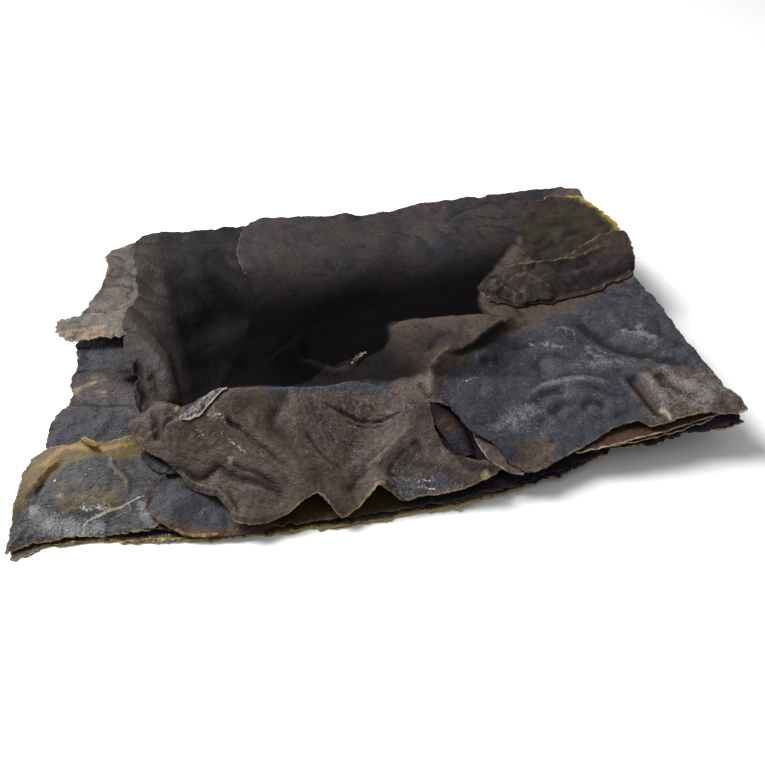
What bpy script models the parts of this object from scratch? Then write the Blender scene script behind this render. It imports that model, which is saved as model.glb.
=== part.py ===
"""Dried wakame: a pressed bundle of sea-vegetable leaves that dried into one crumpled packet.

The bundle lies flat. Its length runs along X, its cut front edge faces -Y, and it rests on Z = 0.
The origin is at the middle of its footprint. Every leaf is a thin closed solid that is draped over
the leaves beneath it, so the leaves touch without crossing. All lengths are in metres.
"""

import bpy
import numpy as np
from mathutils import Vector, noise
from mathutils.geometry import delaunay_2d_cdt

for thing in list(bpy.data.objects):
    bpy.data.objects.remove(thing)

# Driving dimensions
LEAF = 0.0009  # thickness of a leaf, measured straight down
AIR = 0.0005  # least air between two leaves where one rests on the other
FACET = 0.0044  # spacing of the corners over a crumpled leaf
BROAD_FACET = 0.0075  # the same over the two smooth leaves at the bottom
HEM_STEP = 0.0040  # spacing of the corners along an outline
FALL_PAST_HEM = 1.2  # how steeply a leaf may drop once it is past the hem of the one beneath
BLEND = 0.0010  # rounding where two slopes of a leaf meet
RIGHT_END_LIFT = 0.0088  # the right end has curled up off the table by this much
LIFT_STARTS = 0.026  # where along X that curl begins
HALF_LENGTH = 0.090

DRY_ROUGHNESS = 0.55


# ---------------------------------------------------------------- outlines and folds


def smooth_line(points, step, closed=False):
    """A Catmull-Rom curve through the points, with a corner about every `step` along it."""
    points = np.array(points, float)
    count = len(points)
    spans = count if closed else count - 1
    line = []
    for i in range(spans):
        if closed:
            a, b, c, d = (points[(i + k) % count] for k in (-1, 0, 1, 2))
        else:
            a, b, c, d = (points[min(max(i + k, 0), count - 1)] for k in (-1, 0, 1, 2))
        pieces = max(1, round(np.linalg.norm((c - b)[:2]) / step))
        for t in np.arange(pieces) / pieces:
            line.append(
                0.5 * (2 * b + (c - a) * t + (2 * a - 5 * b + 4 * c - d) * t**2
                       + (3 * b - a - 3 * c + d) * t**3)
            )
    if not closed:
        line.append(points[-1])
    return np.array(line)


def smooth_max(a, b, blend=BLEND):
    """The higher of two surfaces, with the crease between them rounded."""
    return blend * np.logaddexp(a / blend, b / blend)


def distance_to(line, xy):
    """For each plan point: distance to the nearest place on a line, the side on which it lies
    (1 left, -1 right, between them round an end), and the values that the line carries there."""
    nearest = np.full(len(xy), np.inf)
    side = np.zeros(len(xy))
    carried = np.zeros((len(xy), line.shape[1] - 2))
    last = len(line) - 2
    for i in range(last + 1):
        start, run = line[i, :2], line[i + 1, :2] - line[i, :2]
        along = ((xy - start) @ run) / (run @ run)
        held = np.clip(along, 0, 1)
        off = xy - start - held[:, None] * run
        distance = np.hypot(off[:, 0], off[:, 1])
        turn = (run[0] * off[:, 1] - run[1] * off[:, 0]) / np.hypot(*run)
        round_end = ((i == 0) & (along < 0)) | ((i == last) & (along > 1))
        sided = np.where(round_end, turn / np.maximum(distance, 1e-9), np.sign(turn))
        closer = distance < nearest
        nearest[closer], side[closer] = distance[closer], sided[closer]
        values = line[i, 2:] + held[:, None] * (line[i + 1, 2:] - line[i, 2:])
        carried[closer] = values[closer]
    return nearest, side, carried


def fold(xy, path, left, right, crest=0.0020):
    """A leaf held up along a path of (x, y, height). It falls away at the slopes `left` and
    `right` of the path as one walks it, from a crest rounded to the radius `crest`."""
    distance, side, height = distance_to(smooth_line(path, 0.004), xy)
    slope = right + (left - right) * (1 + side) / 2
    return height[:, 0] - slope * (np.hypot(distance, crest) - crest)


def blister(xy, at, radius, height):
    """A low round swelling, or a dimple where the height is negative."""
    distance = np.hypot(xy[:, 0] - at[0], xy[:, 1] - at[1])
    return height * np.clip(1 - (distance / radius) ** 2, 0, 1) ** 2


def waves(xy, length, height, seed):
    """Slow undulation of the given wave length, up to about `height` up and down."""
    return height * np.array([noise.noise(Vector((x / length, y / length, seed))) for x, y in xy])


def rise(value, start, end):
    """0 before start, 1 after end, smooth between."""
    t = np.clip((value - start) / (end - start), 0, 1)
    return t * t * (3 - 2 * t)


def inside(outline, xy):
    """Whether each plan point lies within a closed outline."""
    x, y = xy[:, 0], xy[:, 1]
    within = np.zeros(len(xy), bool)
    for (x0, y0), (x1, y1) in zip(outline, np.roll(outline, -1, axis=0)):
        crosses = (y0 > y) != (y1 > y)
        if y0 != y1:
            within ^= crosses & (x < x0 + (x1 - x0) * (y - y0) / (y1 - y0))
    return within


def hem_distance(outline, xy):
    """Distance of each plan point to an outline."""
    return distance_to(np.vstack([outline, outline[:1]]), xy)[0]


# ---------------------------------------------------------------- a leaf


class Leaf:
    """One leaf: its outline in plan, the form it dried in, and the leaves that it lies on."""

    def __init__(self, name, colour, outline, form, lies_on=(), facet=FACET):
        self.name = name
        self.colour = colour
        self.form = form
        self.lies_on = lies_on
        self.facet = facet
        self.outline = smooth_line(outline, HEM_STEP, closed=True)

    def top(self, xy):
        """Height of the upper face: the leaf's own form, draped over what is beneath."""
        height = self.form(xy)
        for lower in self.lies_on:
            past_hem = np.where(inside(lower.outline, xy), 0, hem_distance(lower.outline, xy))
            drop = FALL_PAST_HEM * np.maximum(past_hem - self.facet, 0)
            resting = lower.top(xy) + AIR + LEAF - drop
            height = smooth_max(height, resting, BLEND / 2)
        return height

    def corners(self):
        """Corner points in plan: the outline first, then a triangular lattice inside it. The
        lattice starts at the origin, so leaves with the same facets bend at the same places."""
        low, high = self.outline.min(0), self.outline.max(0)
        row_height = self.facet * 3**0.5 / 2
        lattice = []
        for row in range(int(low[1] / row_height) - 1, int(high[1] / row_height) + 2):
            shift = self.facet / 2 * (row % 2)
            for column in range(int(low[0] / self.facet) - 1, int(high[0] / self.facet) + 2):
                lattice.append((column * self.facet + shift, row * row_height))
        lattice = np.array(lattice)
        clear = hem_distance(self.outline, lattice) > 0.45 * self.facet
        return np.vstack([self.outline, lattice[inside(self.outline, lattice) & clear]])

    def build(self):
        """The closed solid: two faces split alike, joined by a thin wall along the outline."""
        xy = self.corners()
        hem = len(self.outline)
        edges = [(i, (i + 1) % hem) for i in range(hem)]
        made = delaunay_2d_cdt([Vector(p) for p in xy], edges, [], 1, 1e-9)
        xy = np.array([tuple(p) for p in made[0]])
        faces = [tuple(f) for f in made[2]]
        walls = outer_edges(faces)
        top = self.top(xy)
        count = len(xy)
        points = [(x, y, z) for (x, y), z in zip(xy, top)]
        points += [(x, y, z - LEAF) for (x, y), z in zip(xy, top)]
        solid = list(faces)
        solid += [tuple(i + count for i in reversed(f)) for f in faces]
        solid += [(b, a, a + count) for a, b in walls]
        solid += [(b, a + count, b + count) for a, b in walls]
        mesh = bpy.data.meshes.new(self.name)
        mesh.from_pydata(points, [], solid)
        mesh.materials.append(dry_leaf(self.name, self.colour))
        mesh.shade_smooth()
        mesh.set_sharp_from_angle(angle=np.radians(50))
        leaf = bpy.data.objects.new(self.name, mesh)
        bpy.context.scene.collection.objects.link(leaf)
        return leaf


def outer_edges(faces):
    """The edges that belong to one face only, each in that face's direction."""
    directed = {(f[i], f[(i + 1) % len(f)]) for f in faces for i in range(len(f))}
    return sorted(edge for edge in directed if edge[::-1] not in directed)


def dry_leaf(name, colour):
    """A matt, slightly satin leaf of one colour."""
    material = bpy.data.materials.new(name)
    material.use_nodes = True
    shader = material.node_tree.nodes["Principled BSDF"]
    shader.inputs["Base Color"].default_value = (*colour, 1)
    shader.inputs["Roughness"].default_value = DRY_ROUGHNESS
    shader.inputs["Metallic"].default_value = 0
    return material


# ---------------------------------------------------------------- the leaves, bottom to top


def right_end_curl(xy):
    """How far the right end has curled up off the table, a little more at its back corner."""
    along = (xy[:, 0] - LIFT_STARTS) / (HALF_LENGTH - LIFT_STARTS)
    return RIGHT_END_LIFT * np.clip(along, 0, 2) ** 1.25 * (1 + 0.3 * rise(xy[:, 1], -0.020, 0.040))


def bottom_form(xy):
    """Flat on the table over most of its area, with low arches, and curled up at the right end
    and along the back."""
    arches = (waves(xy, 0.040, 0.0022, 3.1) - 0.0006) * (1 - rise(xy[:, 0], 0.020, 0.060))
    back_curl = 0.0036 * rise(xy[:, 1], 0.026, 0.064)
    return LEAF + np.maximum(right_end_curl(xy) + back_curl + arches, 0)


def middle_form(xy):
    """Thicker towards the back and the left, where more leaves are pressed together."""
    swell = 0.0018 * rise(xy[:, 1], -0.055, -0.030)
    swell += 0.0050 * rise(xy[:, 1], -0.020, 0.045) * (1 - 0.6 * rise(xy[:, 0], 0.030, 0.080))
    return 0.0018 + 0.9 * right_end_curl(xy) + swell + waves(xy, 0.034, 0.0016, 8.4)


def left_form(xy):
    """Runs out past the left end in crosswise bands, each a little higher towards the back."""
    form = 0.0045 + 0.0035 * rise(xy[:, 1], -0.035, 0.005)
    form = smooth_max(form, fold(xy, [(-0.084, -0.021, 0.0072), (-0.055, -0.023, 0.0078)], 0.30, 0.30))
    form = smooth_max(form, fold(xy, [(-0.080, -0.009, 0.0086), (-0.055, -0.012, 0.0090)], 0.35, 0.30))
    form = smooth_max(form, fold(xy, [(-0.080, 0.003, 0.0098), (-0.058, 0.001, 0.0104)], 0.35, 0.30))
    return form + waves(xy, 0.012, 0.0008, 5.0)


def side_form(xy):
    """A pale leaf at the back of the left end, rolling up towards its torn edge."""
    form = 0.0095 + 0.0015 * rise(xy[:, 1], 0.012, 0.030)
    form = smooth_max(form, fold(xy, [(-0.078, 0.018, 0.0122), (-0.052, 0.021, 0.0130)], 0.30, 0.45))
    form = smooth_max(form, fold(xy, [(-0.074, 0.038, 0.0125), (-0.050, 0.042, 0.0135)], 0.30, 0.30))
    return form + waves(xy, 0.016, 0.0010, 2.7)


def strip_form(xy):
    """A narrow folded strip that pokes out over the left end."""
    form = fold(xy, [(-0.086, 0.0125, 0.0142), (-0.060, 0.0105, 0.0146)], 0.25, 0.40, 0.0015)
    return form + waves(xy, 0.010, 0.0006, 7.7)


def back_form(xy):
    """Stands up as a crumpled ridge behind the left end, then drops into a hollow."""
    floor = 0.0066 + 0.0050 * rise(xy[:, 1], 0.010, 0.040) + waves(xy, 0.017, 0.0016, 4.2)
    ridge = [(-0.0545, -0.0260, 0.0104), (-0.0530, -0.0180, 0.0140), (-0.0555, -0.0080, 0.0162),
             (-0.0605, 0.0030, 0.0166), (-0.0630, 0.0140, 0.0156), (-0.0610, 0.0340, 0.0144),
             (-0.0550, 0.0570, 0.0128)]
    form = smooth_max(floor, fold(xy, ridge, 0.55, 0.95))
    low_fold = [(-0.033, -0.012, 0.0080), (-0.028, 0.006, 0.0094)]
    return smooth_max(form, fold(xy, low_fold, 0.30, 0.30, 0.005))


def blade_form(xy):
    """A blade at the front of the left end: high at its olive rear hem, sloping to the table."""
    form = fold(xy, [(-0.089, -0.040, 0.0074), (-0.076, -0.0345, 0.0092), (-0.063, -0.0335, 0.0088),
                     (-0.053, -0.0400, 0.0050)], 0.35, 0.34, 0.0040)
    form = smooth_max(form, fold(xy, [(-0.092, -0.0520, 0.0042), (-0.072, -0.0480, 0.0052),
                                      (-0.055, -0.0500, 0.0036)], 0.30, 0.55))
    return np.maximum(form, 0.0018) + waves(xy, 0.014, 0.0007, 9.5)


def small_blade_form(xy):
    """A rounded blade that slides under the big leaf."""
    form = 0.0022 + 0.0040 * rise(xy[:, 1], -0.060, -0.040)
    return form + waves(xy, 0.014, 0.0006, 1.9)


def top_form(xy):
    """The big crumpled leaf on top: a puffed lobe on the left, a high crest behind a bowl, a torn
    slit, and a broad blistered half on the right that follows the curled end."""
    x, y = xy[:, 0], xy[:, 1]
    form = 0.0034 + 0.0060 * rise(x, 0.005, 0.042)
    form += 0.0032 * rise(x, 0.045, 0.090) * (1 - 0.55 * rise(y, -0.030, 0.030))
    form += 0.0042 * rise(y, -0.034, 0.012) * rise(x, -0.020, 0.030) + 0.0012 * rise(y, 0.0, 0.050)
    form += waves(xy, 0.021, 0.0016, 6.3)

    folds = [
        # the puffed lobe, steep behind
        ([(-0.0610, -0.0295, 0.0120), (-0.0560, -0.0285, 0.0170), (-0.0505, -0.0315, 0.0165)],
         1.60, 1.10),
        # the crest: its high left part, then the part that falls gently towards the bowl in front
        ([(-0.0480, -0.0315, 0.0155), (-0.0385, -0.0300, 0.0190), (-0.0300, -0.0285, 0.0172)],
         1.10, 0.80),
        ([(-0.0300, -0.0285, 0.0170), (-0.0190, -0.0285, 0.0158), (-0.0070, -0.0280, 0.0138),
          (0.0040, -0.0320, 0.0108), (0.0087, -0.0370, 0.0114)], 1.10, 0.42),
        # from the crest down to the first arch in the front hem
        ([(-0.0385, -0.0320, 0.0180), (-0.0320, -0.0405, 0.0128), (-0.0273, -0.0454, 0.0110),
          (-0.0228, -0.0502, 0.0096)], 0.42, 0.75),
        # the lower left hem
        ([(-0.0590, -0.0350, 0.0084), (-0.0480, -0.0450, 0.0070), (-0.0410, -0.0520, 0.0074),
          (-0.0370, -0.0610, 0.0042)], 0.42, 0.60),
        # from the knot towards the second arch
        ([(0.0087, -0.0378, 0.0114), (0.0055, -0.0450, 0.0102), (-0.0010, -0.0495, 0.0094)], 0.55, 0.55),
        # the left lip of the slit
        ([(0.0110, -0.0365, 0.0116), (0.0118, -0.0450, 0.0098), (0.0140, -0.0505, 0.0080),
          (0.0240, -0.0570, 0.0060)], 0.50, 0.45),
        # the right lip of the slit
        ([(0.0140, -0.0340, 0.0126), (0.0190, -0.0450, 0.0112), (0.0245, -0.0510, 0.0100),
          (0.0310, -0.0590, 0.0060)], 0.28, 0.40),
        # from the knot back along the rolled band
        ([(0.0087, -0.0378, 0.0114), (0.0140, -0.0250, 0.0140), (0.0190, -0.0200, 0.0154),
          (0.0270, -0.0170, 0.0168), (0.0345, -0.0130, 0.0172)], 0.16, 0.95),
        # a tent in the hollow behind the crest
        ([(-0.0230, -0.0200, 0.0100), (-0.0255, -0.0050, 0.0122), (-0.0200, 0.0060, 0.0082)],
         0.65, 0.65),
        # the long creases of the right half
        ([(0.0500, -0.0100, 0.0134), (0.0650, -0.0080, 0.0138), (0.0840, -0.0120, 0.0150)], 0.30, 0.35),
        ([(0.0560, -0.0260, 0.0124), (0.0680, -0.0310, 0.0124), (0.0860, -0.0330, 0.0138)], 0.25, 0.25),
        ([(0.0740, -0.0320, 0.0132), (0.0700, -0.0420, 0.0124), (0.0690, -0.0530, 0.0110)], 0.30, 0.50),
        # soft ridges that run on to the back hem
        ([(-0.0120, 0.0120, 0.0118), (0.0080, 0.0280, 0.0136), (0.0150, 0.0600, 0.0120)], 0.30, 0.30),
        ([(0.0380, 0.0050, 0.0158), (0.0440, 0.0300, 0.0152), (0.0380, 0.0600, 0.0136)], 0.25, 0.30),
        ([(0.0700, 0.0200, 0.0150), (0.0720, 0.0600, 0.0146)], 0.25, 0.25),
    ]
    for path, left, right in folds:
        form = smooth_max(form, fold(xy, path, left, right))
    # the two narrow arches in the front hem
    form = smooth_max(form, fold(xy, [(-0.0220, -0.0510, 0.0088), (-0.0190, -0.0590, 0.0100)],
                                 1.30, 1.30, 0.0008))
    form = smooth_max(form, fold(xy, [(-0.0025, -0.0510, 0.0080), (-0.0046, -0.0590, 0.0092)],
                                 1.20, 1.20, 0.0008))

    blisters = [
        ((0.0510, -0.0370), 0.010, 0.0018),
        ((0.0380, -0.0400), 0.009, 0.0012),
        ((0.0600, -0.0440), 0.008, 0.0010),
        ((0.0530, -0.0180), 0.008, 0.0012),
        ((0.0790, -0.0440), 0.009, 0.0014),
        ((0.0300, -0.0300), 0.010, 0.0012),
        ((0.0660, -0.0200), 0.007, -0.0010),
        ((0.0370, -0.0610), 0.018, -0.0022),
    ]
    for at, radius, height in blisters:
        form += blister(xy, at, radius, height)
    return form


def olive_form(xy):
    """A thin olive leaf at the back of the right end."""
    form = fold(xy, [(0.060, 0.024, 0.0150), (0.086, 0.030, 0.0172)], 0.12, 0.15, 0.004)
    return form + waves(xy, 0.014, 0.0011, 3.3)


def flap_form(xy):
    """A brown flap folded over the olive leaf, with a raised rear hem."""
    rear = [(0.034, 0.004, 0.0165), (0.050, 0.0115, 0.0178), (0.063, 0.0120, 0.0176),
            (0.079, 0.0210, 0.0186), (0.087, 0.0220, 0.0184)]
    form = fold(xy, rear, 0.40, 0.22, 0.0015)
    form = smooth_max(form, fold(xy, [(0.042, 0.000, 0.0166), (0.060, 0.0035, 0.0168)], 0.35, 0.45))
    return form + waves(xy, 0.011, 0.0009, 6.6)


bottom_leaf = Leaf(
    "bottom_leaf", (0.065, 0.050, 0.040),
    [(-0.0895, -0.0580), (-0.0820, -0.0558), (-0.0730, -0.0555), (-0.0560, -0.0585), (-0.0390, -0.0605),
     (-0.0170, -0.0615), (0.0000, -0.0612), (0.0200, -0.0600), (0.0410, -0.0565), (0.0580, -0.0520),
     (0.0660, -0.0530), (0.0780, -0.0528), (0.0893, -0.0535), (0.0880, -0.0430), (0.0868, -0.0280),
     (0.0850, -0.0060), (0.0840, 0.0100), (0.0858, 0.0240), (0.0850, 0.0400), (0.0830, 0.0585),
     (0.0600, 0.0600), (0.0200, 0.0608), (-0.0200, 0.0600), (-0.0600, 0.0582), (-0.0740, 0.0560),
     (-0.0750, 0.0400), (-0.0770, 0.0200), (-0.0785, 0.0000), (-0.0800, -0.0200), (-0.0830, -0.0380),
     (-0.0888, -0.0500)],
    bottom_form, facet=BROAD_FACET)

middle_leaf = Leaf(
    "middle_leaf", (0.058, 0.056, 0.064),
    [(-0.0780, -0.0480), (-0.0560, -0.0562), (-0.0300, -0.0595), (0.0000, -0.0598), (0.0220, -0.0588),
     (0.0450, -0.0545), (0.0580, -0.0505), (0.0680, -0.0522), (0.0885, -0.0520), (0.0865, -0.0300),
     (0.0838, 0.0000), (0.0848, 0.0300), (0.0810, 0.0572), (0.0400, 0.0595), (0.0000, 0.0590),
     (-0.0400, 0.0575), (-0.0710, 0.0540), (-0.0740, 0.0300), (-0.0765, 0.0000), (-0.0775, -0.0250)],
    middle_form, (bottom_leaf,), BROAD_FACET)

left_leaf = Leaf(
    "left_leaf", (0.080, 0.070, 0.078),
    [(-0.0830, -0.0310), (-0.0838, -0.0240), (-0.0825, -0.0185), (-0.0795, -0.0160), (-0.0795, -0.0080),
     (-0.0780, -0.0024), (-0.0795, 0.0060), (-0.0780, 0.0140), (-0.0740, 0.0230), (-0.0560, 0.0250),
     (-0.0440, 0.0180), (-0.0400, -0.0050), (-0.0430, -0.0280), (-0.0540, -0.0380),
     (-0.0700, -0.0380)][::-1],
    left_form, (middle_leaf,))

side_leaf = Leaf(
    "side_leaf", (0.165, 0.147, 0.133),
    [(-0.0785, 0.0120), (-0.0640, 0.0085), (-0.0500, 0.0110), (-0.0455, 0.0300), (-0.0490, 0.0500),
     (-0.0640, 0.0545), (-0.0735, 0.0500), (-0.0725, 0.0380), (-0.0745, 0.0285), (-0.0770, 0.0220)],
    side_form, (middle_leaf, left_leaf))

edge_strip = Leaf(
    "edge_strip", (0.165, 0.125, 0.095),
    [(-0.0838, 0.0145), (-0.0848, 0.0098), (-0.0810, 0.0052), (-0.0720, 0.0050), (-0.0590, 0.0040),
     (-0.0570, 0.0090), (-0.0600, 0.0135), (-0.0720, 0.0148)],
    strip_form, (left_leaf, side_leaf))

back_leaf = Leaf(
    "back_leaf", (0.074, 0.058, 0.054),
    [(-0.0590, -0.0240), (-0.0480, -0.0270), (-0.0300, -0.0250), (-0.0120, -0.0180), (-0.0040, 0.0040),
     (0.0020, 0.0300), (0.0000, 0.0585), (-0.0300, 0.0600), (-0.0620, 0.0570), (-0.0640, 0.0380),
     (-0.0620, 0.0200), (-0.0655, 0.0080), (-0.0650, -0.0040), (-0.0675, -0.0090), (-0.0610, -0.0125),
     (-0.0625, -0.0180)],
    back_form, (middle_leaf, left_leaf, side_leaf, edge_strip))

left_blade = Leaf(
    "left_blade", (0.130, 0.117, 0.103),
    [(-0.0902, -0.0570), (-0.0860, -0.0552), (-0.0770, -0.0548), (-0.0640, -0.0560), (-0.0555, -0.0550),
     (-0.0535, -0.0460), (-0.0555, -0.0380), (-0.0610, -0.0310), (-0.0700, -0.0325), (-0.0780, -0.0310),
     (-0.0850, -0.0335), (-0.0880, -0.0430), (-0.0900, -0.0520)],
    blade_form, (bottom_leaf, middle_leaf, left_leaf))

small_blade = Leaf(
    "small_blade", (0.052, 0.049, 0.058),
    [(-0.0590, -0.0470), (-0.0575, -0.0540), (-0.0500, -0.0592), (-0.0400, -0.0608), (-0.0300, -0.0600),
     (-0.0280, -0.0480), (-0.0380, -0.0380), (-0.0480, -0.0385), (-0.0545, -0.0425)],
    small_blade_form, (middle_leaf, left_leaf, left_blade))

top_leaf = Leaf(
    "top_leaf", (0.095, 0.084, 0.081),
    [(-0.0630, -0.0270), (-0.0615, -0.0330), (-0.0575, -0.0387), (-0.0530, -0.0420), (-0.0480, -0.0485),
     (-0.0420, -0.0525), (-0.0390, -0.0590), (-0.0350, -0.0610), (-0.0260, -0.0592), (-0.0190, -0.0562),
     (-0.0140, -0.0618), (-0.0095, -0.0592), (-0.0045, -0.0566), (0.0000, -0.0590), (0.0180, -0.0590),
     (0.0255, -0.0566), (0.0170, -0.0525), (0.0128, -0.0480), (0.0118, -0.0400), (0.0118, -0.0358),
     (0.0170, -0.0380), (0.0195, -0.0450), (0.0265, -0.0520), (0.0310, -0.0586), (0.0420, -0.0552),
     (0.0570, -0.0500), (0.0620, -0.0500), (0.0645, -0.0524), (0.0760, -0.0512), (0.0898, -0.0526),
     (0.0880, -0.0450), (0.0862, -0.0300), (0.0845, -0.0060), (0.0825, 0.0070), (0.0842, 0.0200),
     (0.0830, 0.0400), (0.0810, 0.0570), (0.0500, 0.0590), (0.0200, 0.0598), (-0.0100, 0.0580),
     (-0.0280, 0.0590), (-0.0330, 0.0400), (-0.0290, 0.0200), (-0.0330, 0.0000), (-0.0390, -0.0170),
     (-0.0400, -0.0270), (-0.0440, -0.0292), (-0.0490, -0.0310), (-0.0510, -0.0290), (-0.0550, -0.0262)],
    top_form, (middle_leaf, left_leaf, back_leaf, left_blade, small_blade))

olive_leaf = Leaf(
    "olive_leaf", (0.130, 0.095, 0.045),
    [(0.0560, 0.0120), (0.0700, 0.0100), (0.0830, 0.0140), (0.0868, 0.0240), (0.0862, 0.0340),
     (0.0800, 0.0500), (0.0700, 0.0510), (0.0620, 0.0440), (0.0560, 0.0280)],
    olive_form, (top_leaf,))

brown_flap = Leaf(
    "brown_flap", (0.055, 0.042, 0.037),
    [(0.0345, 0.0040), (0.0370, -0.0010), (0.0480, -0.0040), (0.0620, -0.0015), (0.0740, 0.0010),
     (0.0835, 0.0050), (0.0862, 0.0140), (0.0872, 0.0225), (0.0790, 0.0225), (0.0710, 0.0175),
     (0.0630, 0.0130), (0.0500, 0.0130), (0.0410, 0.0090)],
    flap_form, (top_leaf, olive_leaf))


for leaf in (bottom_leaf, middle_leaf, left_leaf, side_leaf, edge_strip, back_leaf, left_blade,
             small_blade, top_leaf, olive_leaf, brown_flap):
    leaf.build()
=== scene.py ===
import bpy
import numpy as np
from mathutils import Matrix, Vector, kdtree, noise
from mathutils.bvhtree import BVHTree


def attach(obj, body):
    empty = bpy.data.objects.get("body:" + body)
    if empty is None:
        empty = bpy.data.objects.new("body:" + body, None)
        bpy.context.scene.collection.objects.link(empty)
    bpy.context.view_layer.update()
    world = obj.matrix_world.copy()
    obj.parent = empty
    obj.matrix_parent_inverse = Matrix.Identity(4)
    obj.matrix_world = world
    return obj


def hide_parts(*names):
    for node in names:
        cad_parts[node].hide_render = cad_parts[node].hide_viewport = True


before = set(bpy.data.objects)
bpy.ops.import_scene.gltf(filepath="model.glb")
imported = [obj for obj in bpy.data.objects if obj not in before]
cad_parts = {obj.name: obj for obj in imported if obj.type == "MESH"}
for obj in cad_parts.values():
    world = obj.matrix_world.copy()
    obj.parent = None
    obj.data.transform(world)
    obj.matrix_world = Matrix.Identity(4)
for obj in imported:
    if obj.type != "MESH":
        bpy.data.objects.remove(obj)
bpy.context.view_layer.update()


# ---------------------------------------------------------------- lowest leaf
# The leaf that the bundle lies on: one sheet of dried seaweed, pressed flat on the table and
# curled up at its right end. Its hem was torn, and dried to a ragged yellowish line.

LEAF = 0.00042  # a dried leaf is this thick
SCRAP = 0.0003  # and a small scrap this thin
AIR = 0.0001  # between a leaf and what it rests on
TUCKED = 0.0006  # between a scrap and the leaf that covers it
HIGH = 0.06  # above the whole bundle
LOW = -0.01  # and below it
NO_GOLD = 9  # millimetres added to a hem that doesn't turn golden


def pick(piece):
    """Makes one piece the only one selected, and the active one."""
    bpy.ops.object.select_all(action="DESELECT")
    piece.select_set(True)
    bpy.context.view_layer.objects.active = piece


def upper_face(node, name, cuts):
    """The upper face of a solid leaf as an open sheet, cut finer."""
    leaf = bpy.data.objects.new(name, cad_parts[node].data.copy())
    bpy.context.scene.collection.objects.link(leaf)
    leaf.data.materials.clear()
    pick(leaf)
    bpy.ops.object.mode_set(mode="EDIT")
    bpy.ops.mesh.select_mode(type="FACE")
    bpy.ops.mesh.select_all(action="SELECT")
    bpy.ops.mesh.remove_doubles(threshold=1e-5)
    bpy.ops.mesh.customdata_custom_splitnormals_clear()
    bpy.ops.mesh.select_all(action="DESELECT")
    bpy.ops.object.mode_set(mode="OBJECT")
    for face in leaf.data.polygons:
        face.select = face.normal.z < 0.01
    bpy.ops.object.mode_set(mode="EDIT")
    bpy.ops.mesh.delete(type="FACE")
    bpy.ops.mesh.select_all(action="SELECT")
    bpy.ops.mesh.subdivide(number_cuts=cuts)
    bpy.ops.mesh.select_all(action="DESELECT")
    bpy.ops.object.mode_set(mode="OBJECT")
    return leaf


def refine(leaf, chosen):
    """Cuts the faces that touch the chosen points once more."""
    for face in leaf.data.polygons:
        face.select = chosen[list(face.vertices)].any()
    bpy.ops.object.mode_set(mode="EDIT")
    bpy.ops.mesh.subdivide(number_cuts=1)
    bpy.ops.mesh.select_all(action="DESELECT")
    bpy.ops.object.mode_set(mode="OBJECT")


def rough(x, y, size, seed):
    """Smooth random numbers, about -1 to 1, that change over `size` metres."""
    return np.array([noise.noise(Vector((a, b, seed))) for a, b in zip(x / size, y / size)])


def creased(x, y, size, seed):
    """Like `rough`, but with sharp valleys: about -0.5 in a valley and up to 1 between them."""
    shift = 0.4 * size * rough(x, y, 1.7 * size, seed + 20)
    return 3 * np.abs(rough(x + shift, y - shift, size, seed)) - 0.5


def rise(value, start, end):
    """0 before start, 1 after end, smooth between."""
    t = np.clip((value - start) / (end - start), 0, 1)
    return t * t * (3 - 2 * t)


def mm(*points):
    """The points of a line, given in millimetres."""
    return np.array(points) / 1000


def curve(points, pieces=6):
    """A smooth line through given points."""
    if len(points) < 3:
        return points
    ends = np.vstack([points[:1], points, points[-1:]])
    line = []
    for a, b, c, d in zip(ends, ends[1:], ends[2:], ends[3:]):
        for t in np.arange(pieces) / pieces:
            line.append(0.5 * (2 * b + (c - a) * t + (2 * a - 5 * b + 4 * c - d) * t**2
                               + (3 * b - a - 3 * c + d) * t**3))
    return np.array(line + [points[-1]])


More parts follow.
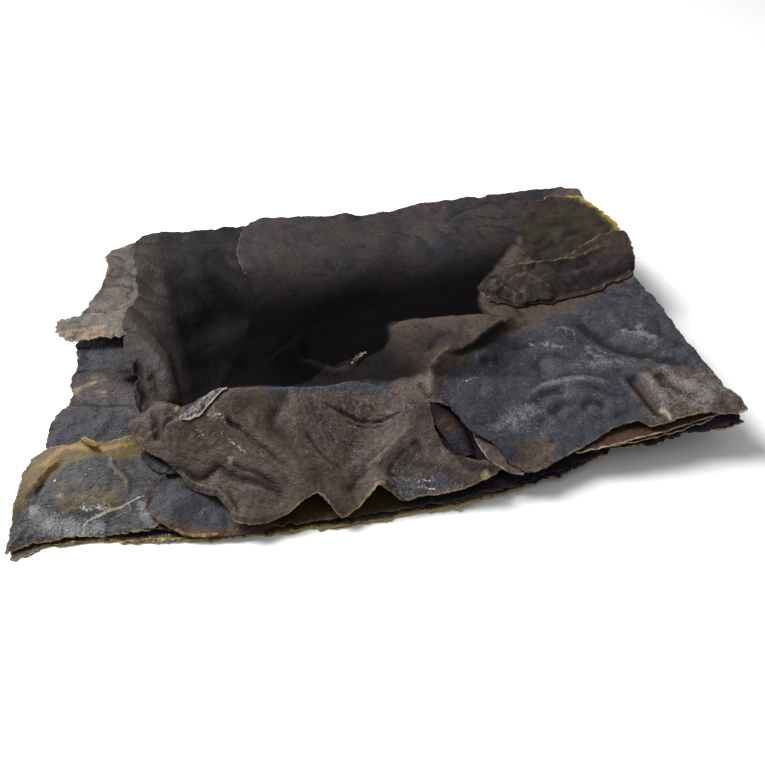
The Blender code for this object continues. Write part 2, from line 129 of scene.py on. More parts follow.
class Sheet:
    """A leaf while it is shaped: its points `at`, how far each lies from the hem, and which way
    leads out over the hem there."""

    def __init__(self, leaf):
        self.mesh = leaf.data
        count = len(self.mesh.vertices)
        self.at = np.empty(count * 3)
        self.mesh.vertices.foreach_get("co", self.at)
        self.at = self.at.reshape(-1, 3)
        ends = np.empty(len(self.mesh.edges) * 2, int)
        self.mesh.edges.foreach_get("vertices", ends)
        ends = ends.reshape(-1, 2)
        loop_edge = np.empty(len(self.mesh.loops), int)
        self.mesh.loops.foreach_get("edge_index", loop_edge)
        loop_point = np.empty(len(self.mesh.loops), int)
        self.mesh.loops.foreach_get("vertex_index", loop_point)
        open_edge = np.bincount(loop_edge, minlength=len(ends)) == 1
        self.on_hem = np.zeros(count, bool)
        self.on_hem[ends[open_edge].ravel()] = True

        # a hem point listens only to its neighbours along the hem
        pairs = np.vstack([ends, ends[:, ::-1]])
        along_hem = np.concatenate([open_edge, open_edge])
        self.pairs = pairs[~self.on_hem[pairs[:, 0]] | along_hem]
        self.neighbours = np.bincount(self.pairs[:, 0], minlength=count)

        # which way is out, from the direction in which the faces run along the hem
        first = loop_point[open_edge[loop_edge]]
        other = ends[loop_edge[open_edge[loop_edge]]].sum(1) - first
        run = self.at[other] - self.at[first]
        out = np.zeros((count, 2))
        for point in (first, other):
            np.add.at(out, point, np.column_stack([run[:, 1], -run[:, 0]]))
        out /= np.maximum(np.linalg.norm(out, axis=1), 1e-9)[:, None]

        tree = kdtree.KDTree(int(self.on_hem.sum()))
        for i in np.flatnonzero(self.on_hem):
            tree.insert((*self.at[i, :2], 0), i)
        tree.balance()
        found = [tree.find((x, y, 0)) for x, y in self.at[:, :2]]
        self.hem = np.array([distance for _, _, distance in found])
        self.hem_point = np.array([index for _, index, _ in found])
        self.out = out[self.hem_point]
        x, y = self.at[:, 0], self.at[:, 1]
        self.drift = 0.0004 * np.column_stack([rough(x, y, 0.0026, 60.0), rough(x, y, 0.0026, 61.0)])

    def mean(self, values):
        total = np.bincount(self.pairs[:, 0], values[self.pairs[:, 1]], len(values))
        return total / self.neighbours

    def relax(self, rounds):
        """Evens out the heights, which rounds off facets."""
        for _ in range(rounds):
            self.at[:, 2] += 0.5 * (self.mean(self.at[:, 2]) - self.at[:, 2])

    def round_outline(self, rounds):
        """Turns the straight runs of the outline into curves, and lets the leaf follow."""
        before = self.at[:, :2].copy()
        hem_only = self.on_hem.astype(float)[:, None]
        for _ in range(rounds):
            mean = np.column_stack([self.mean(self.at[:, 0]), self.mean(self.at[:, 1])])
            self.at[:, :2] += 0.5 * hem_only * (mean - self.at[:, :2])
        moved = self.at[:, :2] - before
        self.at[:, :2] = before + moved[self.hem_point] * self.at_hem(0.002)[:, None]

    def tear(self, amount, seed):
        """Makes the hem ragged: long tatters, small bites and fine teeth."""
        x, y = self.at[self.hem_point, 0], self.at[self.hem_point, 1]
        ragged = 0.55 * rough(x, y, 0.0042, seed) + 0.42 * rough(x, y, 0.0016, seed + 1)
        ragged += 0.3 * rough(x, y, 0.0007, seed + 2)
        ragged -= 0.9 * rise(rough(x, y, 0.006, seed + 3), 0.25, 0.6)
        reach = np.exp(-(self.hem / 0.0022) ** 2)
        self.at[:, :2] += 0.001 * amount * (ragged * reach)[:, None] * self.out

    def away(self, path):
        """Distance to a given line, the side of it (left above 0), and 0 to 1 along it. The way across the
        line to its right is kept in `right`."""
        line = curve(path)[:, :2]
        nearest = np.full(len(self.at), np.inf)
        side, along = np.zeros(len(self.at)), np.zeros(len(self.at))
        self.right = np.zeros((len(self.at), 2))
        steps = np.linalg.norm(np.diff(line, axis=0), axis=1)
        gone = np.concatenate([[0], np.cumsum(steps)]) / steps.sum()
        for i, length in enumerate(steps):
            run = (line[i + 1] - line[i]) / length
            off = self.at[:, :2] + self.drift - line[i]
            t = np.clip(off @ run, 0, length)
            gap = np.linalg.norm(off - t[:, None] * run, axis=1)
            closer = gap < nearest
            nearest[closer] = gap[closer]
            side[closer] = (run[0] * off[:, 1] - run[1] * off[:, 0])[closer]
            along[closer] = (gone[i] + (gone[i + 1] - gone[i]) * t / length)[closer]
            self.right[closer] = run[1], -run[0]
        return nearest, side, along

    def near(self, path, width):
        """1 on a given line, fading out over `width` to either side and towards its ends."""
        distance, _, along = self.away(path)
        return np.exp(-(distance / width) ** 2) * rise(along, -0.02, 0.2) * rise(1 - along, -0.02, 0.2)

    def lines(self, *lines):
        """Several lines at once, each with its strength and its width."""
        return sum(strength * self.near(path, width) for strength, path, width in lines)

    def spot(self, x, y, radius):
        """1 at a place, fading out over `radius`."""
        return np.exp(-((self.at[:, 0] - x) ** 2 + (self.at[:, 1] - y) ** 2) / radius**2)

    def spots(self, *spots):
        """Several spots at once, each with its strength, its place and its radius."""
        return sum(strength * self.spot(x, y, radius) for strength, x, y, radius in spots)

    def at_hem(self, width):
        """1 at the hem, fading out over `width`."""
        return np.exp(-self.hem / width)

    def ridges(self, *lines):
        """Raises the leaf along given lines, each with its width and its height, which is below 0 for a
        groove."""
        for path, width, height in lines:
            self.at[:, 2] += height * self.near(path, width)

    def lip(self, path, height, width, reach, over=0.0):
        """A sharp step: the leaf is high on the left of the line, and low on its right, where
        the high side may lean over it by `over`."""
        distance, side, along = self.away(path)
        ends = rise(along, -0.02, 0.25) * rise(1 - along, -0.02, 0.25)
        self.at[:, 2] += 0.5 * height * np.tanh(side / width) * np.exp(-distance / reach) * ends
        lean = over * ends * rise(side, -width, width) * np.exp(-distance / 0.0015)
        self.at[:, :2] += lean[:, None] * self.right

    def press(self, depth, reach, where=1.0):
        """Sinks the hem towards the leaf beneath it."""
        self.at[:, 2] -= depth * self.at_hem(reach) * where

    def rest_on(self, pile):
        """Lifts the leaf wherever it would touch what lies beneath it."""
        for i, (x, y, _) in enumerate(self.at):
            for lower in pile:
                hit = lower.ray_cast((x, y, HIGH), (0, 0, -1))[0]
                if hit is not None:
                    self.at[i, 2] = max(self.at[i, 2], hit.z + LEAF + AIR)

    def tuck_under(self, cover):
        """Lowers the leaf wherever it would touch the leaf that covers it."""
        for i, (x, y, z) in enumerate(self.at):
            hit = cover.ray_cast((x, y, LOW), (0, 0, 1))[0]
            if hit is not None:
                self.at[i, 2] = min(z, hit.z - TUCKED)

    def keep(self, **marks):
        """Writes the points back, and the marks that the finish reads. A point that stands 0.12 mm
        over its surroundings, or lies as far below them, counts in full as a fold."""
        self.mesh.vertices.foreach_set("co", self.at.ravel())
        bend = self.at[:, 2].copy()
        for _ in range(3):
            bend = self.mean(bend)
        # the finish paints a highlight on raised folds and shade in sunken ones from this mark
        marks["fold"] = np.clip((self.at[:, 2] - bend) / 0.00012, -1, 1)
        marks["hem"] = self.hem * 1000 + marks.pop("plain_hem", 0)
        for name, values in marks.items():
            mark = self.mesh.attributes.new(name, "FLOAT", "POINT")
            mark.data.foreach_set("value", np.full(len(self.at), values, np.float32))
        self.mesh.update()


class Mark:
    """A number, colour or vector that varies over a leaf, as a socket of its finish."""

    def __init__(self, finish, socket):
        self.finish, self.socket = finish, socket

    def __add__(self, other):
        return self.finish.reckon("ADD", self, other)

    def __sub__(self, other):
        return self.finish.reckon("SUBTRACT", self, other)

    def __rsub__(self, other):
        return self.finish.reckon("SUBTRACT", other, self)

    def __mul__(self, other):
        return self.finish.reckon("MULTIPLY", self, other)


class Finish:
    """A finish for one leaf, built up from marks."""

    def __init__(self, name):
        self.material = bpy.data.materials.new(name)
        self.material.use_nodes = True
        self.tree = self.material.node_tree
        self.shader = self.tree.nodes["Principled BSDF"]
        self.place = self.node("ShaderNodeTexCoord", out="Object")

    def node(self, kind, settings=(), sockets=(), out=0):
        """Adds one node: its settings first, then the values or links of its sockets."""
        made = self.tree.nodes.new(kind)
        for key, value in dict(settings).items():
            setattr(made, key, value)
        for key, value in dict(sockets).items():
            if isinstance(value, Mark):
                self.tree.links.new(value.socket, made.inputs[key])
            else:
                made.inputs[key].default_value = value
        return Mark(self, made.outputs[out])

    def reckon(self, operation, a, b):
        return self.node("ShaderNodeMath", {"operation": operation}, {0: a, 1: b})

    def painted(self, name):
        """A mark that was set point by point on the leaf."""
        return self.node("ShaderNodeAttribute", {"attribute_name": name}, out="Fac")

    def speckle(self, size, detail, place=None, roughness=0.55):
        """Even random mottling, 0 to 1, with spots about `size` metres across."""
        return self.node("ShaderNodeTexNoise", {}, {"Vector": place or self.place, "Scale": 1 / size,
                                                    "Detail": detail, "Roughness": roughness})

    def between(self, value, low, high):
        """0 where the value is under `low`, 1 over `high`, smooth between."""
        return self.node("ShaderNodeMapRange", {"interpolation_type": "SMOOTHSTEP"},
                         {"Value": value, "From Min": low, "From Max": high})

    def thin(self, value, width):
        """Thin lines, 1 where the value passes through the middle of its range."""
        return self.between(self.reckon("ABSOLUTE", value - 0.5, 0.0), width, 0.0)

    def mix(self, amount, a, b):
        """From colour a to colour b; sockets 6 and 7 of a mix node are its colours."""
        a, b = ((*c, 1) if isinstance(c, tuple) else c for c in (a, b))
        return self.node("ShaderNodeMix", {"data_type": "RGBA"}, {0: amount, 6: a, 7: b}, out=2)

    def feed(self, socket, value):
        self.tree.links.new(value.socket, self.shader.inputs[socket])


TAUPE = (0.068, 0.048, 0.038)
SLATE = (0.03, 0.031, 0.039)
# a dark tone for random mottling, and the colour of painted shade
DARK_TONE_AND_SHADE = (0.01, 0.007, 0.007)
# the near black of painted shade
SHADE_BLACK = (0.0028, 0.0022, 0.0028)
# tan for streaks, also used for painted highlights
TAN_AND_GLINT = (0.215, 0.15, 0.085)
OLIVE = (0.072, 0.052, 0.021)
SALT = (0.3, 0.3, 0.31)
CRUST = (0.52, 0.48, 0.39)
HEM = (0.3, 0.215, 0.11)


def tinted(colour, added, share):
    """A lighter or darker kind of a colour."""
    return tuple(added + share * c for c in colour)


def dry_leaf(name, brown=TAUPE, slate=SLATE, hem=HEM, olive=OLIVE, tan_and_glint=TAN_AND_GLINT, bloom=0.35, gold=0.6):
    """Dried seaweed: brown or slate by place, with painted shade in its creases and hollows and a painted
    highlight on its raised folds, streaked tan (some tan lines are painted highlight), dusted with salt,
    and yellowish along the torn hem. Fine wrinkles run along the painted grain."""
    f = Finish(name)
    broad = f.speckle(0.0085, 4)
    patch = f.speckle(0.0032, 3)
    small = f.speckle(0.0011, 4)
    pores = f.speckle(0.00045, 2)
    fold = f.painted("fold")
    grain = f.node("ShaderNodeCombineXYZ", {}, {"X": f.painted("across") * 5.0,
                                                "Y": f.painted("down") * 0.9})
    wrinkles = f.speckle(0.0042, 2, grain, 0.6)
    wrinkled = f.painted("wrinkled") + 0.22
    furrows = f.thin(wrinkles, 0.05) * wrinkled
    kinks = f.thin(f.speckle(0.0046, 2, roughness=0.6), 0.035)
    kinks = kinks * f.between(broad + small * 0.3, 0.55, 0.75)

    blue = f.between(f.painted("slate") + (broad - 0.5) * 0.7 + (small - 0.5) * 0.3, 0.3, 0.7)
    colour = f.mix(blue, brown, slate)
    worn_and_lit = f.mix(blue, tinted(brown, 0.01, 1.45), tinted(slate, 0.008, 1.3))
    umber = f.mix(blue, tinted(brown, 0, 0.62), tinted(slate, 0, 0.68))
    colour = f.mix(f.between(patch + small * 0.7, 0.75, 1.15) * 0.28, colour, worn_and_lit)
    colour = f.mix(f.between(broad + patch * 0.5, 0.62, 1.05) * 0.45, colour, umber)
    colour = f.mix(f.between(small * 0.7 + pores * 0.6, 0.74, 0.42) * 0.55, colour, DARK_TONE_AND_SHADE)
    # raised folds are painted lighter, as highlight
    colour = f.mix(f.between(fold, 0.1, 1.0) * 0.25, colour, worn_and_lit)
    # painted shade in creases, grooves and recesses, from its painted mark
    colour = f.mix(f.between(f.painted("painted_shade") + (small - 0.5) * 0.6, 0.1, 0.9) * 0.85, colour, DARK_TONE_AND_SHADE)
    # sunken folds, fine wrinkle lines and kinks are darkened as painted shade
    colour = f.mix(f.between(fold * -0.8 + furrows * 1.1 + kinks * 0.6, 0.15, 1.0) * 0.75, colour, DARK_TONE_AND_SHADE)
    # painted shade: the leaf turns near black where shade falls in the hollows
    shade = f.painted("dark")
    colour = f.mix(shade, colour, SHADE_BLACK)
    colour = f.mix(f.between(f.painted("olive") + (patch - 0.5) * 0.7, 0.25, 0.85) * 0.85, colour, olive)
    colour = f.mix(f.between(f.painted("tan_and_glint") + (small - 0.5) * 0.8, 0.25, 0.9) * 0.8, colour, tan_and_glint)
    dust = f.painted("bloom") * 0.5 + (patch - 0.5) * 0.7 + (small - 0.5) * 0.7 + (pores - 0.5) * 1.3
    dust = f.between(dust + fold * 0.12, 0.25, 0.95)
    lit = 1.0 - shade
    colour = f.mix(dust * bloom * lit, colour, SALT)
    crust = f.between(f.painted("crust") + (pores - 0.5) * 1.2 + (small - 0.5) * 0.8, 0.35, 0.8)
    colour = f.mix(crust * 0.85, colour, CRUST)
    rim = f.painted("hem") + (small - 0.5) * 0.6 - (patch - 0.5) * 1.3 - (broad - 0.5) * 0.6
    rim = f.between(rim, 0.34, 0.0)
    colour = f.mix(rim * gold * (1.0 - blue * 0.45) * lit, colour, hem)
    f.feed("Base Color", colour)

    # painted shade is rougher, and metallic so that it shows no sheen
    f.feed("Roughness", small * 0.16 + dust * 0.25 + rim * 0.1 + shade * 0.4 + 0.42)
    f.feed("Metallic", shade)
    f.shader.inputs["Specular IOR Level"].default_value = 0.12
    relief = wrinkles * wrinkled * 0.5 - furrows * 0.1 - kinks * 0.07
    relief = relief + broad * 0.3 + patch * 0.4 + small * 0.21 + pores * 0.07 + dust * 0.04 + crust * 0.08
    bumps = {"Strength": 1.0, "Distance": 0.0008, "Height": relief}
    f.feed("Normal", f.node("ShaderNodeBump", {}, bumps, out="Normal"))
    return f.material


def thicken(leaf, thickness):
    """Turns an open sheet into a thin solid leaf, downwards from its upper face."""
    pick(leaf)
    wall = leaf.modifiers.new("thickness", "SOLIDIFY")
    wall.thickness = thickness
    wall.offset = -1
    bpy.ops.object.modifier_apply(modifier=wall.name)
    bpy.ops.object.shade_smooth_by_angle(angle=0.9)


pile = []


def lay_leaf(node, name, shape, finish, seed, cuts=5, tatter=1.0, relax=26, fine=None):
    """Makes the real leaf for a solid one: its upper face, shaped, torn, laid on what is beneath
    and given the thickness of a dried leaf. Where `fine` says so, its points lie closer."""
    leaf = upper_face(node, name, cuts)
    if fine:
        refine(leaf, fine(*np.array([tuple(v.co[:2]) for v in leaf.data.vertices]).T))
    near_hem = Sheet(leaf).hem < 0.0012
    refine(leaf, near_hem)
    sheet = Sheet(leaf)
    sheet.relax(relax)
    sheet.round_outline(5)
    marks = shape(sheet)
    sheet.tear(tatter, seed)
    sheet.rest_on(pile)
    sheet.keep(**marks)
    thicken(leaf, LEAF)
    leaf.data.materials.append(finish)
    graph = bpy.context.evaluated_depsgraph_get()
    pile.append(BVHTree.FromObject(leaf, graph))
    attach(leaf, "root")
    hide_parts(node)


def grain_along(sheet, turn, seed):
    """The grain that fine wrinkles follow: `turn` is its angle from the long side, wandering."""
    x, y, _ = sheet.at.T
    wander = 0.004 * rough(x, y, 0.018, seed) + 0.0012 * rough(x, y, 0.006, seed + 1)
    across = -x * np.sin(turn) + y * np.cos(turn) + wander
    down = x * np.cos(turn) + y * np.sin(turn)
    return {"across": across, "down": down}


def shape_lowest(sheet):
    x, y, z = sheet.at.T
    z -= 0.00046  # because the solid leaf is thicker
    z += 0.0003 * rise(z, 0.0006, 0.002) * creased(x, y, 0.008, 1.0)
    hem_wave = 0.0006 * rough(x, y, 0.005, 2.0) * sheet.at_hem(0.0025)
    z[:] = np.maximum(z + hem_wave, LEAF + 0.00002)  # it stays over the table
    marks = grain_along(sheet, 0.1, 3.0)
    marks["olive"] = 1.1 * sheet.at_hem(0.0016) * rise(rough(x, y, 0.006, 4.0), -0.5, 0.3)
    marks["bloom"] = 0.2 + 0.8 * sheet.at_hem(0.0012)
    marks["slate"] = 0.5 + 0.4 * rise(x, 0.01, 0.05)
    front = rise(-y, 0.044, 0.052) * rise(0.035 - x, 0, 0.02) * rise(x, -0.08, -0.072)
    marks["crust"] = (0.3 + 0.45 * rough(x, y, 0.002, 62.0)) * front * sheet.at_hem(0.0008)
    marks["tan_and_glint"] = 0.9 * front * sheet.at_hem(0.0012)
    return marks


lay_leaf("bottom_leaf", "lowest_leaf", shape_lowest,
         dry_leaf("olive_brown_leaf", brown=(0.05, 0.04, 0.026), slate=(0.018, 0.014, 0.02),
                  hem=(0.33, 0.225, 0.07), tan_and_glint=(0.24, 0.165, 0.06), gold=0.95),
         tatter=1.5, seed=11.0)


# ---------------------------------------------------------------- middle leaf
# The layers between, pressed together so that they read as one leaf: almost black with a violet
# cast. Its hem shows as a dark band under the top leaf along the front and the right end.


def shape_middle(sheet):
    x, y, z = sheet.at.T
    z += 0.00025 * creased(x, y, 0.009, 5.0)
    z += 0.0005 * rough(x, y, 0.006, 6.0) * sheet.at_hem(0.003)
    sheet.press(0.0012, 0.006, rise(-y, 0.03, 0.045))
    marks = grain_along(sheet, 0.05, 7.0)
    marks["slate"] = 0.9
    # the olive that shows under the arches of the big leaf is dark: painted shade
    marks["olive"] = rise(-x, -0.012, 0.004) * rise(-y, 0.048, 0.054) * rise(x, -0.04, -0.028)
    marks["bloom"] = 0.1 + 0.5 * sheet.at_hem(0.001)
    marks["plain_hem"] = 0.25 * rise(x, 0.022, 0.03) * rise(-y, 0.02, 0.03)
    return marks


lay_leaf("middle_leaf", "middle_leaf_layers", shape_middle,
         dry_leaf("violet_black_leaf", brown=(0.03, 0.021, 0.02), slate=(0.02, 0.015, 0.025),
                  olive=(0.04, 0.027, 0.007), gold=0.3), tatter=1.2, seed=21.0)


# ---------------------------------------------------------------- leaf past the left end
# A leaf that runs out past the left end in crosswise bands, slate grey with brown and tan
# between the bands. It dried over the folded stems beneath it.


def shape_left(sheet):
    x, y, z = sheet.at.T
    z += 0.0002 * creased(x, y, 0.0075, 8.0)
    z += 0.0006 * rough(x, y, 0.004, 9.0) * sheet.at_hem(0.0025)
    rear_step = mm((-81, -4), (-73.3, -4.7), (-66, -6))
    front_step = mm((-83.5, -16), (-77.8, -16.3), (-68.6, -18.8), (-60, -19.1))
    sheet.lip(rear_step, 0.0006, 0.0005, 0.002)
    sheet.lip(front_step, -0.0007, 0.0005, 0.0025)
    marks = grain_along(sheet, 0.15, 10.0)
    marks["wrinkled"] = 0.25
    brown_band = rise(-y, 0.0045, 0.0065) * rise(y, -0.019, -0.0165)
    marks["slate"] = 0.95 - 0.85 * brown_band
    streaky = 0.8 + 1.0 * rough(0.35 * x, y, 0.0011, 74.0)
    upper_streak = mm((-80, -12.2), (-77.4, -10.5), (-71.8, -8.7))
    middle_streak = mm((-75.4, -14.1), (-72, -13.6), (-68.9, -13.7))
    rear_streak = mm((-74, -8), (-70, -8.5))
    streaks = sheet.lines((0.62, upper_streak, 0.0009), (0.55, middle_streak, 0.0008),
                          (0.5, rear_streak, 0.0006))
    marks["tan_and_glint"] = (streaks + 0.28 * brown_band) * streaky
    # painted shade along both steps, and a shaded patch at the right end of the brown band
    marks["painted_shade"] = sheet.lines((0.7, rear_step, 0.0006), (0.4, front_step, 0.0006))
    marks["painted_shade"] += sheet.spots((0.9, -0.066, -0.0085, 0.0034), (0.4, -0.068, -0.006, 0.004))
    marks["bloom"] = 0.45 + 0.4 * rough(x, y, 0.008, 11.0) + 0.3 * rise(-y, 0.019, 0.021)
    return marks


lay_leaf("left_leaf", "left_end_leaf", shape_left,
         dry_leaf("slate_leaf", brown=(0.04, 0.028, 0.028), slate=(0.022, 0.021, 0.028), bloom=0.25),
         cuts=6, seed=31.0)


# ---------------------------------------------------------------- pale leaf at the back left
# A thin leaf, bleached to a pale grey-beige, that shows at the back of the left end and rolls up
# towards its torn edge.


def shape_side(sheet):
    x, y, z = sheet.at.T
    z += 0.0004 * creased(x, y, 0.006, 12.0)
    z += 0.0009 * sheet.at_hem(0.0022) * (0.5 + rough(x, y, 0.006, 13.0))
    marks = grain_along(sheet, 0.3, 14.0)
    marks["olive"] = 0.5 * sheet.spot(-0.074, 0.034, 0.006)
    marks["slate"] = 0.35 + 0.3 * rough(x, y, 0.008, 63.0)
    marks["bloom"] = 0.4
    return marks


lay_leaf("side_leaf", "pale_back_leaf", shape_side,
         dry_leaf("pale_leaf", brown=(0.088, 0.07, 0.06), slate=(0.058, 0.053, 0.055), bloom=0.3),
         seed=41.0)


# ---------------------------------------------------------------- folded strip at the left end
# A narrow strip folded along its length, pale grey-beige above and tan on the side that faces
# the front. It pokes out over the left end.


def shape_strip(sheet):
    x, y, z = sheet.at.T
    z += 0.0002 * creased(x, y, 0.005, 15.0)
    marks = grain_along(sheet, -0.1, 16.0)
    streaky = 0.75 + 0.9 * rough(0.4 * x, y, 0.0014, 75.0)
    marks["tan_and_glint"] = 0.9 * (1 - rise(y, 0.0085, 0.0105)) * (1 - 0.6 * rise(x, -0.074, -0.068)) * streaky
    marks["slate"] = 0.2 + 0.5 * rough(x, y, 0.004, 64.0)
    fold_line = mm((-81, 9.2), (-74, 9.8), (-66, 10.2))
    # painted shade along the fold line
    marks["painted_shade"] = 0.5 * sheet.near(fold_line, 0.0004)
    marks["bloom"] = 0.7
    return marks


lay_leaf("edge_strip", "folded_strip", shape_strip,
         dry_leaf("beige_leaf", brown=(0.112, 0.096, 0.077), slate=(0.074, 0.075, 0.068),
                  tan_and_glint=(0.25, 0.162, 0.09), bloom=0.3), cuts=7, tatter=1.9, seed=51.0)


# ---------------------------------------------------------------- leaf behind the left end
# A crumpled taupe leaf that stands up in folds behind the left end, then drops into the dark
# hollow behind the crest.


def shape_back(sheet):
    x, y, z = sheet.at.T
    z += 0.0004 * creased(x, y, 0.0085, 17.0) + 0.00008 * creased(x, y, 0.003, 18.0)
    front_fold = mm((-50, -26), (-51, -18), (-53, -8), (-58, 2))
    sheet.lip(front_fold, 0.0016, 0.0007, 0.004)
    pale_fold = mm((-61.5, -7), (-62, -11.5), (-61.6, -16.5), (-60.6, -22.5))
    groove = mm((-60.4, -8), (-60.7, -12.5), (-60.1, -17.5), (-59, -23))
    low_fold = mm((-59, -10), (-58.8, -15), (-57.8, -20))
    second_groove = mm((-57.2, -14), (-56.8, -18.5), (-56, -22.5))
    sheet.ridges((pale_fold, 0.0005, 0.0008), (groove, 0.0005, -0.0008), (low_fold, 0.0007, 0.0005),
                 (second_groove, 0.0006, -0.0006))
    sheet.press(0.001, 0.0015, 1 - rise(y, -0.014, -0.008))
    marks = grain_along(sheet, 1.3, 19.0)
    marks["wrinkled"] = 0.3
    hollow = rise(x + 0.15 * y, -0.0535, -0.049)
    uneven = 0.85 + 0.25 * rough(x, y, 0.01, 20.0)
    # painted shade: near black down in the hollow, lighter towards the back
    marks["dark"] = 0.93 * hollow * uneven * (1 - 0.6 * rise(y, 0.015, 0.045))
    # painted shade along the grooves and the outer side, and over the whole leaf except its lit fold
    outer_shade = mm((-65, -4), (-64, -9.5), (-62.5, -13))
    marks["painted_shade"] = sheet.lines((0.8, groove, 0.0005), (0.6, second_groove, 0.0005),
                                (0.5, outer_shade, 0.0012))
    lit_fold = rise(x, -0.06, -0.058) * (1 - rise(x, -0.054, -0.051))
    marks["painted_shade"] += (0.22 * rise(-y, 0.0, 0.008) + 0.1) * (1 - lit_fold)
    marks["tan_and_glint"] = 0.35 * sheet.near(pale_fold, 0.0004)
    marks["slate"] = 0.2 + 0.6 * hollow - 0.4 * lit_fold
    marks["bloom"] = 0.25
    marks["plain_hem"] = NO_GOLD * hollow + 0.3 * rise(-x, 0.056, 0.058)
    return marks


lay_leaf("back_leaf", "standing_leaf", shape_back,
         dry_leaf("dark_taupe_leaf", brown=(0.021, 0.0135, 0.0125), slate=(0.018, 0.015, 0.019),
                  bloom=0.04), seed=61.0, fine=lambda x, y: (x < -0.05) & (y < 0.002))


# ---------------------------------------------------------------- blade at the front left
# A blade that lies over the left corner: olive and tan along its rear hem, slate in the middle,
# with a tear along the front that is crusted with salt.


def shape_blade(sheet):
    x, y, z = sheet.at.T
    z += 0.00022 * creased(x, y, 0.0075, 22.0) + 0.00006 * creased(x, y, 0.003, 23.0)
    z += 0.0007 * rough(x, y, 0.005, 24.0) * sheet.at_hem(0.0025)
    sheet.press(0.0022, 0.006, rise(-y, 0.046, 0.052))
    ridge = mm((-86.2, -45.5), (-85.3, -43.8), (-83.2, -41.1), (-81, -38.4), (-78.4, -35.8))
    valley = mm((-84.5, -44.8), (-83, -42.4), (-81.2, -39.6), (-78.6, -37.4))
    stripe = mm((-67.2, -36.5), (-66.6, -38.9), (-65.3, -41.5), (-63.7, -43.4), (-63.3, -47))
    sheet.ridges((ridge, 0.001, 0.0008), (valley, 0.0007, -0.0009), (stripe, 0.0006, 0.0004))
    tear = mm((-73.6, -58), (-73.4, -55), (-72.9, -52.9), (-71.4, -52), (-69.1, -51.4), (-64, -49.6),
              (-60, -48), (-57, -46.6))
    sheet.lip(tear, 0.0003, 0.0002, 0.0025)

    # golden along the rear, slate blue in the middle, olive above the tear
    marks = grain_along(sheet, 0.2, 25.0)
    marks["wrinkled"] = 0.2
    rear_hem = mm((-86.2, -39), (-84.7, -37.1), (-82.4, -36.6), (-78.1, -32.4), (-74.3, -33.7),
                  (-70.7, -34.8), (-68.3, -34.8), (-60, -33))
    olive_line = mm((-88, -48), (-83.5, -42.5), (-78.7, -39.3), (-74.1, -37.4), (-69.4, -37.5),
                    (-64, -37.2))
    _, behind, _ = sheet.away(olive_line)
    rear = rise(behind + 0.001 * rough(x, y, 0.003, 76.0), -0.0012, 0.0016)
    olive_band = mm((-82, -47.8), (-78.3, -47.6), (-72.6, -47.6), (-67, -48.8), (-61.5, -48.2))
    olive_fleck = 0.6 + 1.1 * rough(x, y, 0.0011, 67.0)
    marks["olive"] = 0.85 * rear + 0.5 * sheet.near(olive_band, 0.0034) * olive_fleck
    marks["olive"] += 0.25 + 0.35 * rough(x, y, 0.005, 26.0)
    marks["slate"] = 0.85 - 0.8 * rear
    # painted shade along the valley beside the ridge, and in one spot
    marks["painted_shade"] = 0.6 * sheet.near(valley, 0.0008) + 0.7 * sheet.spot(-0.0622, -0.0392, 0.002)
    marks["tan_and_glint"] = sheet.lines((0.9, rear_hem, 0.001), (0.5, ridge, 0.0009), (0.55, stripe, 0.0006),
                               (0.15, tear, 0.0003))
    marks["tan_and_glint"] += 0.5 * sheet.near(olive_band, 0.0012) * rise(rough(x, y, 0.0007, 68.0), 0.1, 0.5)
    marks["tan_and_glint"] += 0.7 * sheet.at_hem(0.0006) * rise(-y, 0.048, 0.053)
    marks["tan_and_glint"] += 0.35 * rise(rough(x, y, 0.0008, 65.0), 0.2, 0.5)
    dusty_front = mm((-86, -50), (-80, -52), (-74, -53.5), (-69, -54))
    marks["bloom"] = 0.22 + 0.2 * rise(-y, 0.047, 0.052) + 0.5 * sheet.near(dusty_front, 0.002)

    # salt dried in patches along the tear and the front
    salt_patch = mm((-75, -48.4), (-70.3, -50), (-66, -49.8))
    marks["crust"] = sheet.lines((1.25, tear, 0.00018), (0.55, salt_patch, 0.0011))
    for at_x, at_y, radius in (
            (-0.0813, -0.0512, 0.0018), (-0.0761, -0.0533, 0.0018), (-0.0843, -0.0484, 0.0012),
            (-0.0698, -0.0536, 0.0011), (-0.0591, -0.0524, 0.0013), (-0.0784, -0.046, 0.0007),
            (-0.06, -0.0498, 0.0008)):
        marks["crust"] += 0.36 * sheet.spot(at_x, at_y, 0.8 * radius)
        marks["bloom"] += 1.3 * sheet.spot(at_x, at_y, 1.3 * radius)
    return marks


lay_leaf("left_blade", "left_corner_blade", shape_blade,
         dry_leaf("grey_olive_leaf", brown=(0.085, 0.066, 0.05), slate=(0.061, 0.06, 0.065),
                  olive=(0.105, 0.076, 0.03), tan_and_glint=(0.255, 0.15, 0.05), bloom=0.55),
         cuts=8, tatter=1.1, seed=71.0, fine=lambda x, y: (y < -0.0455) & (x < -0.053))


# ---------------------------------------------------------------- small blade
# A rounded dark blade that slides under the big leaf, slate in the middle and reddish along its
# thin left rim.


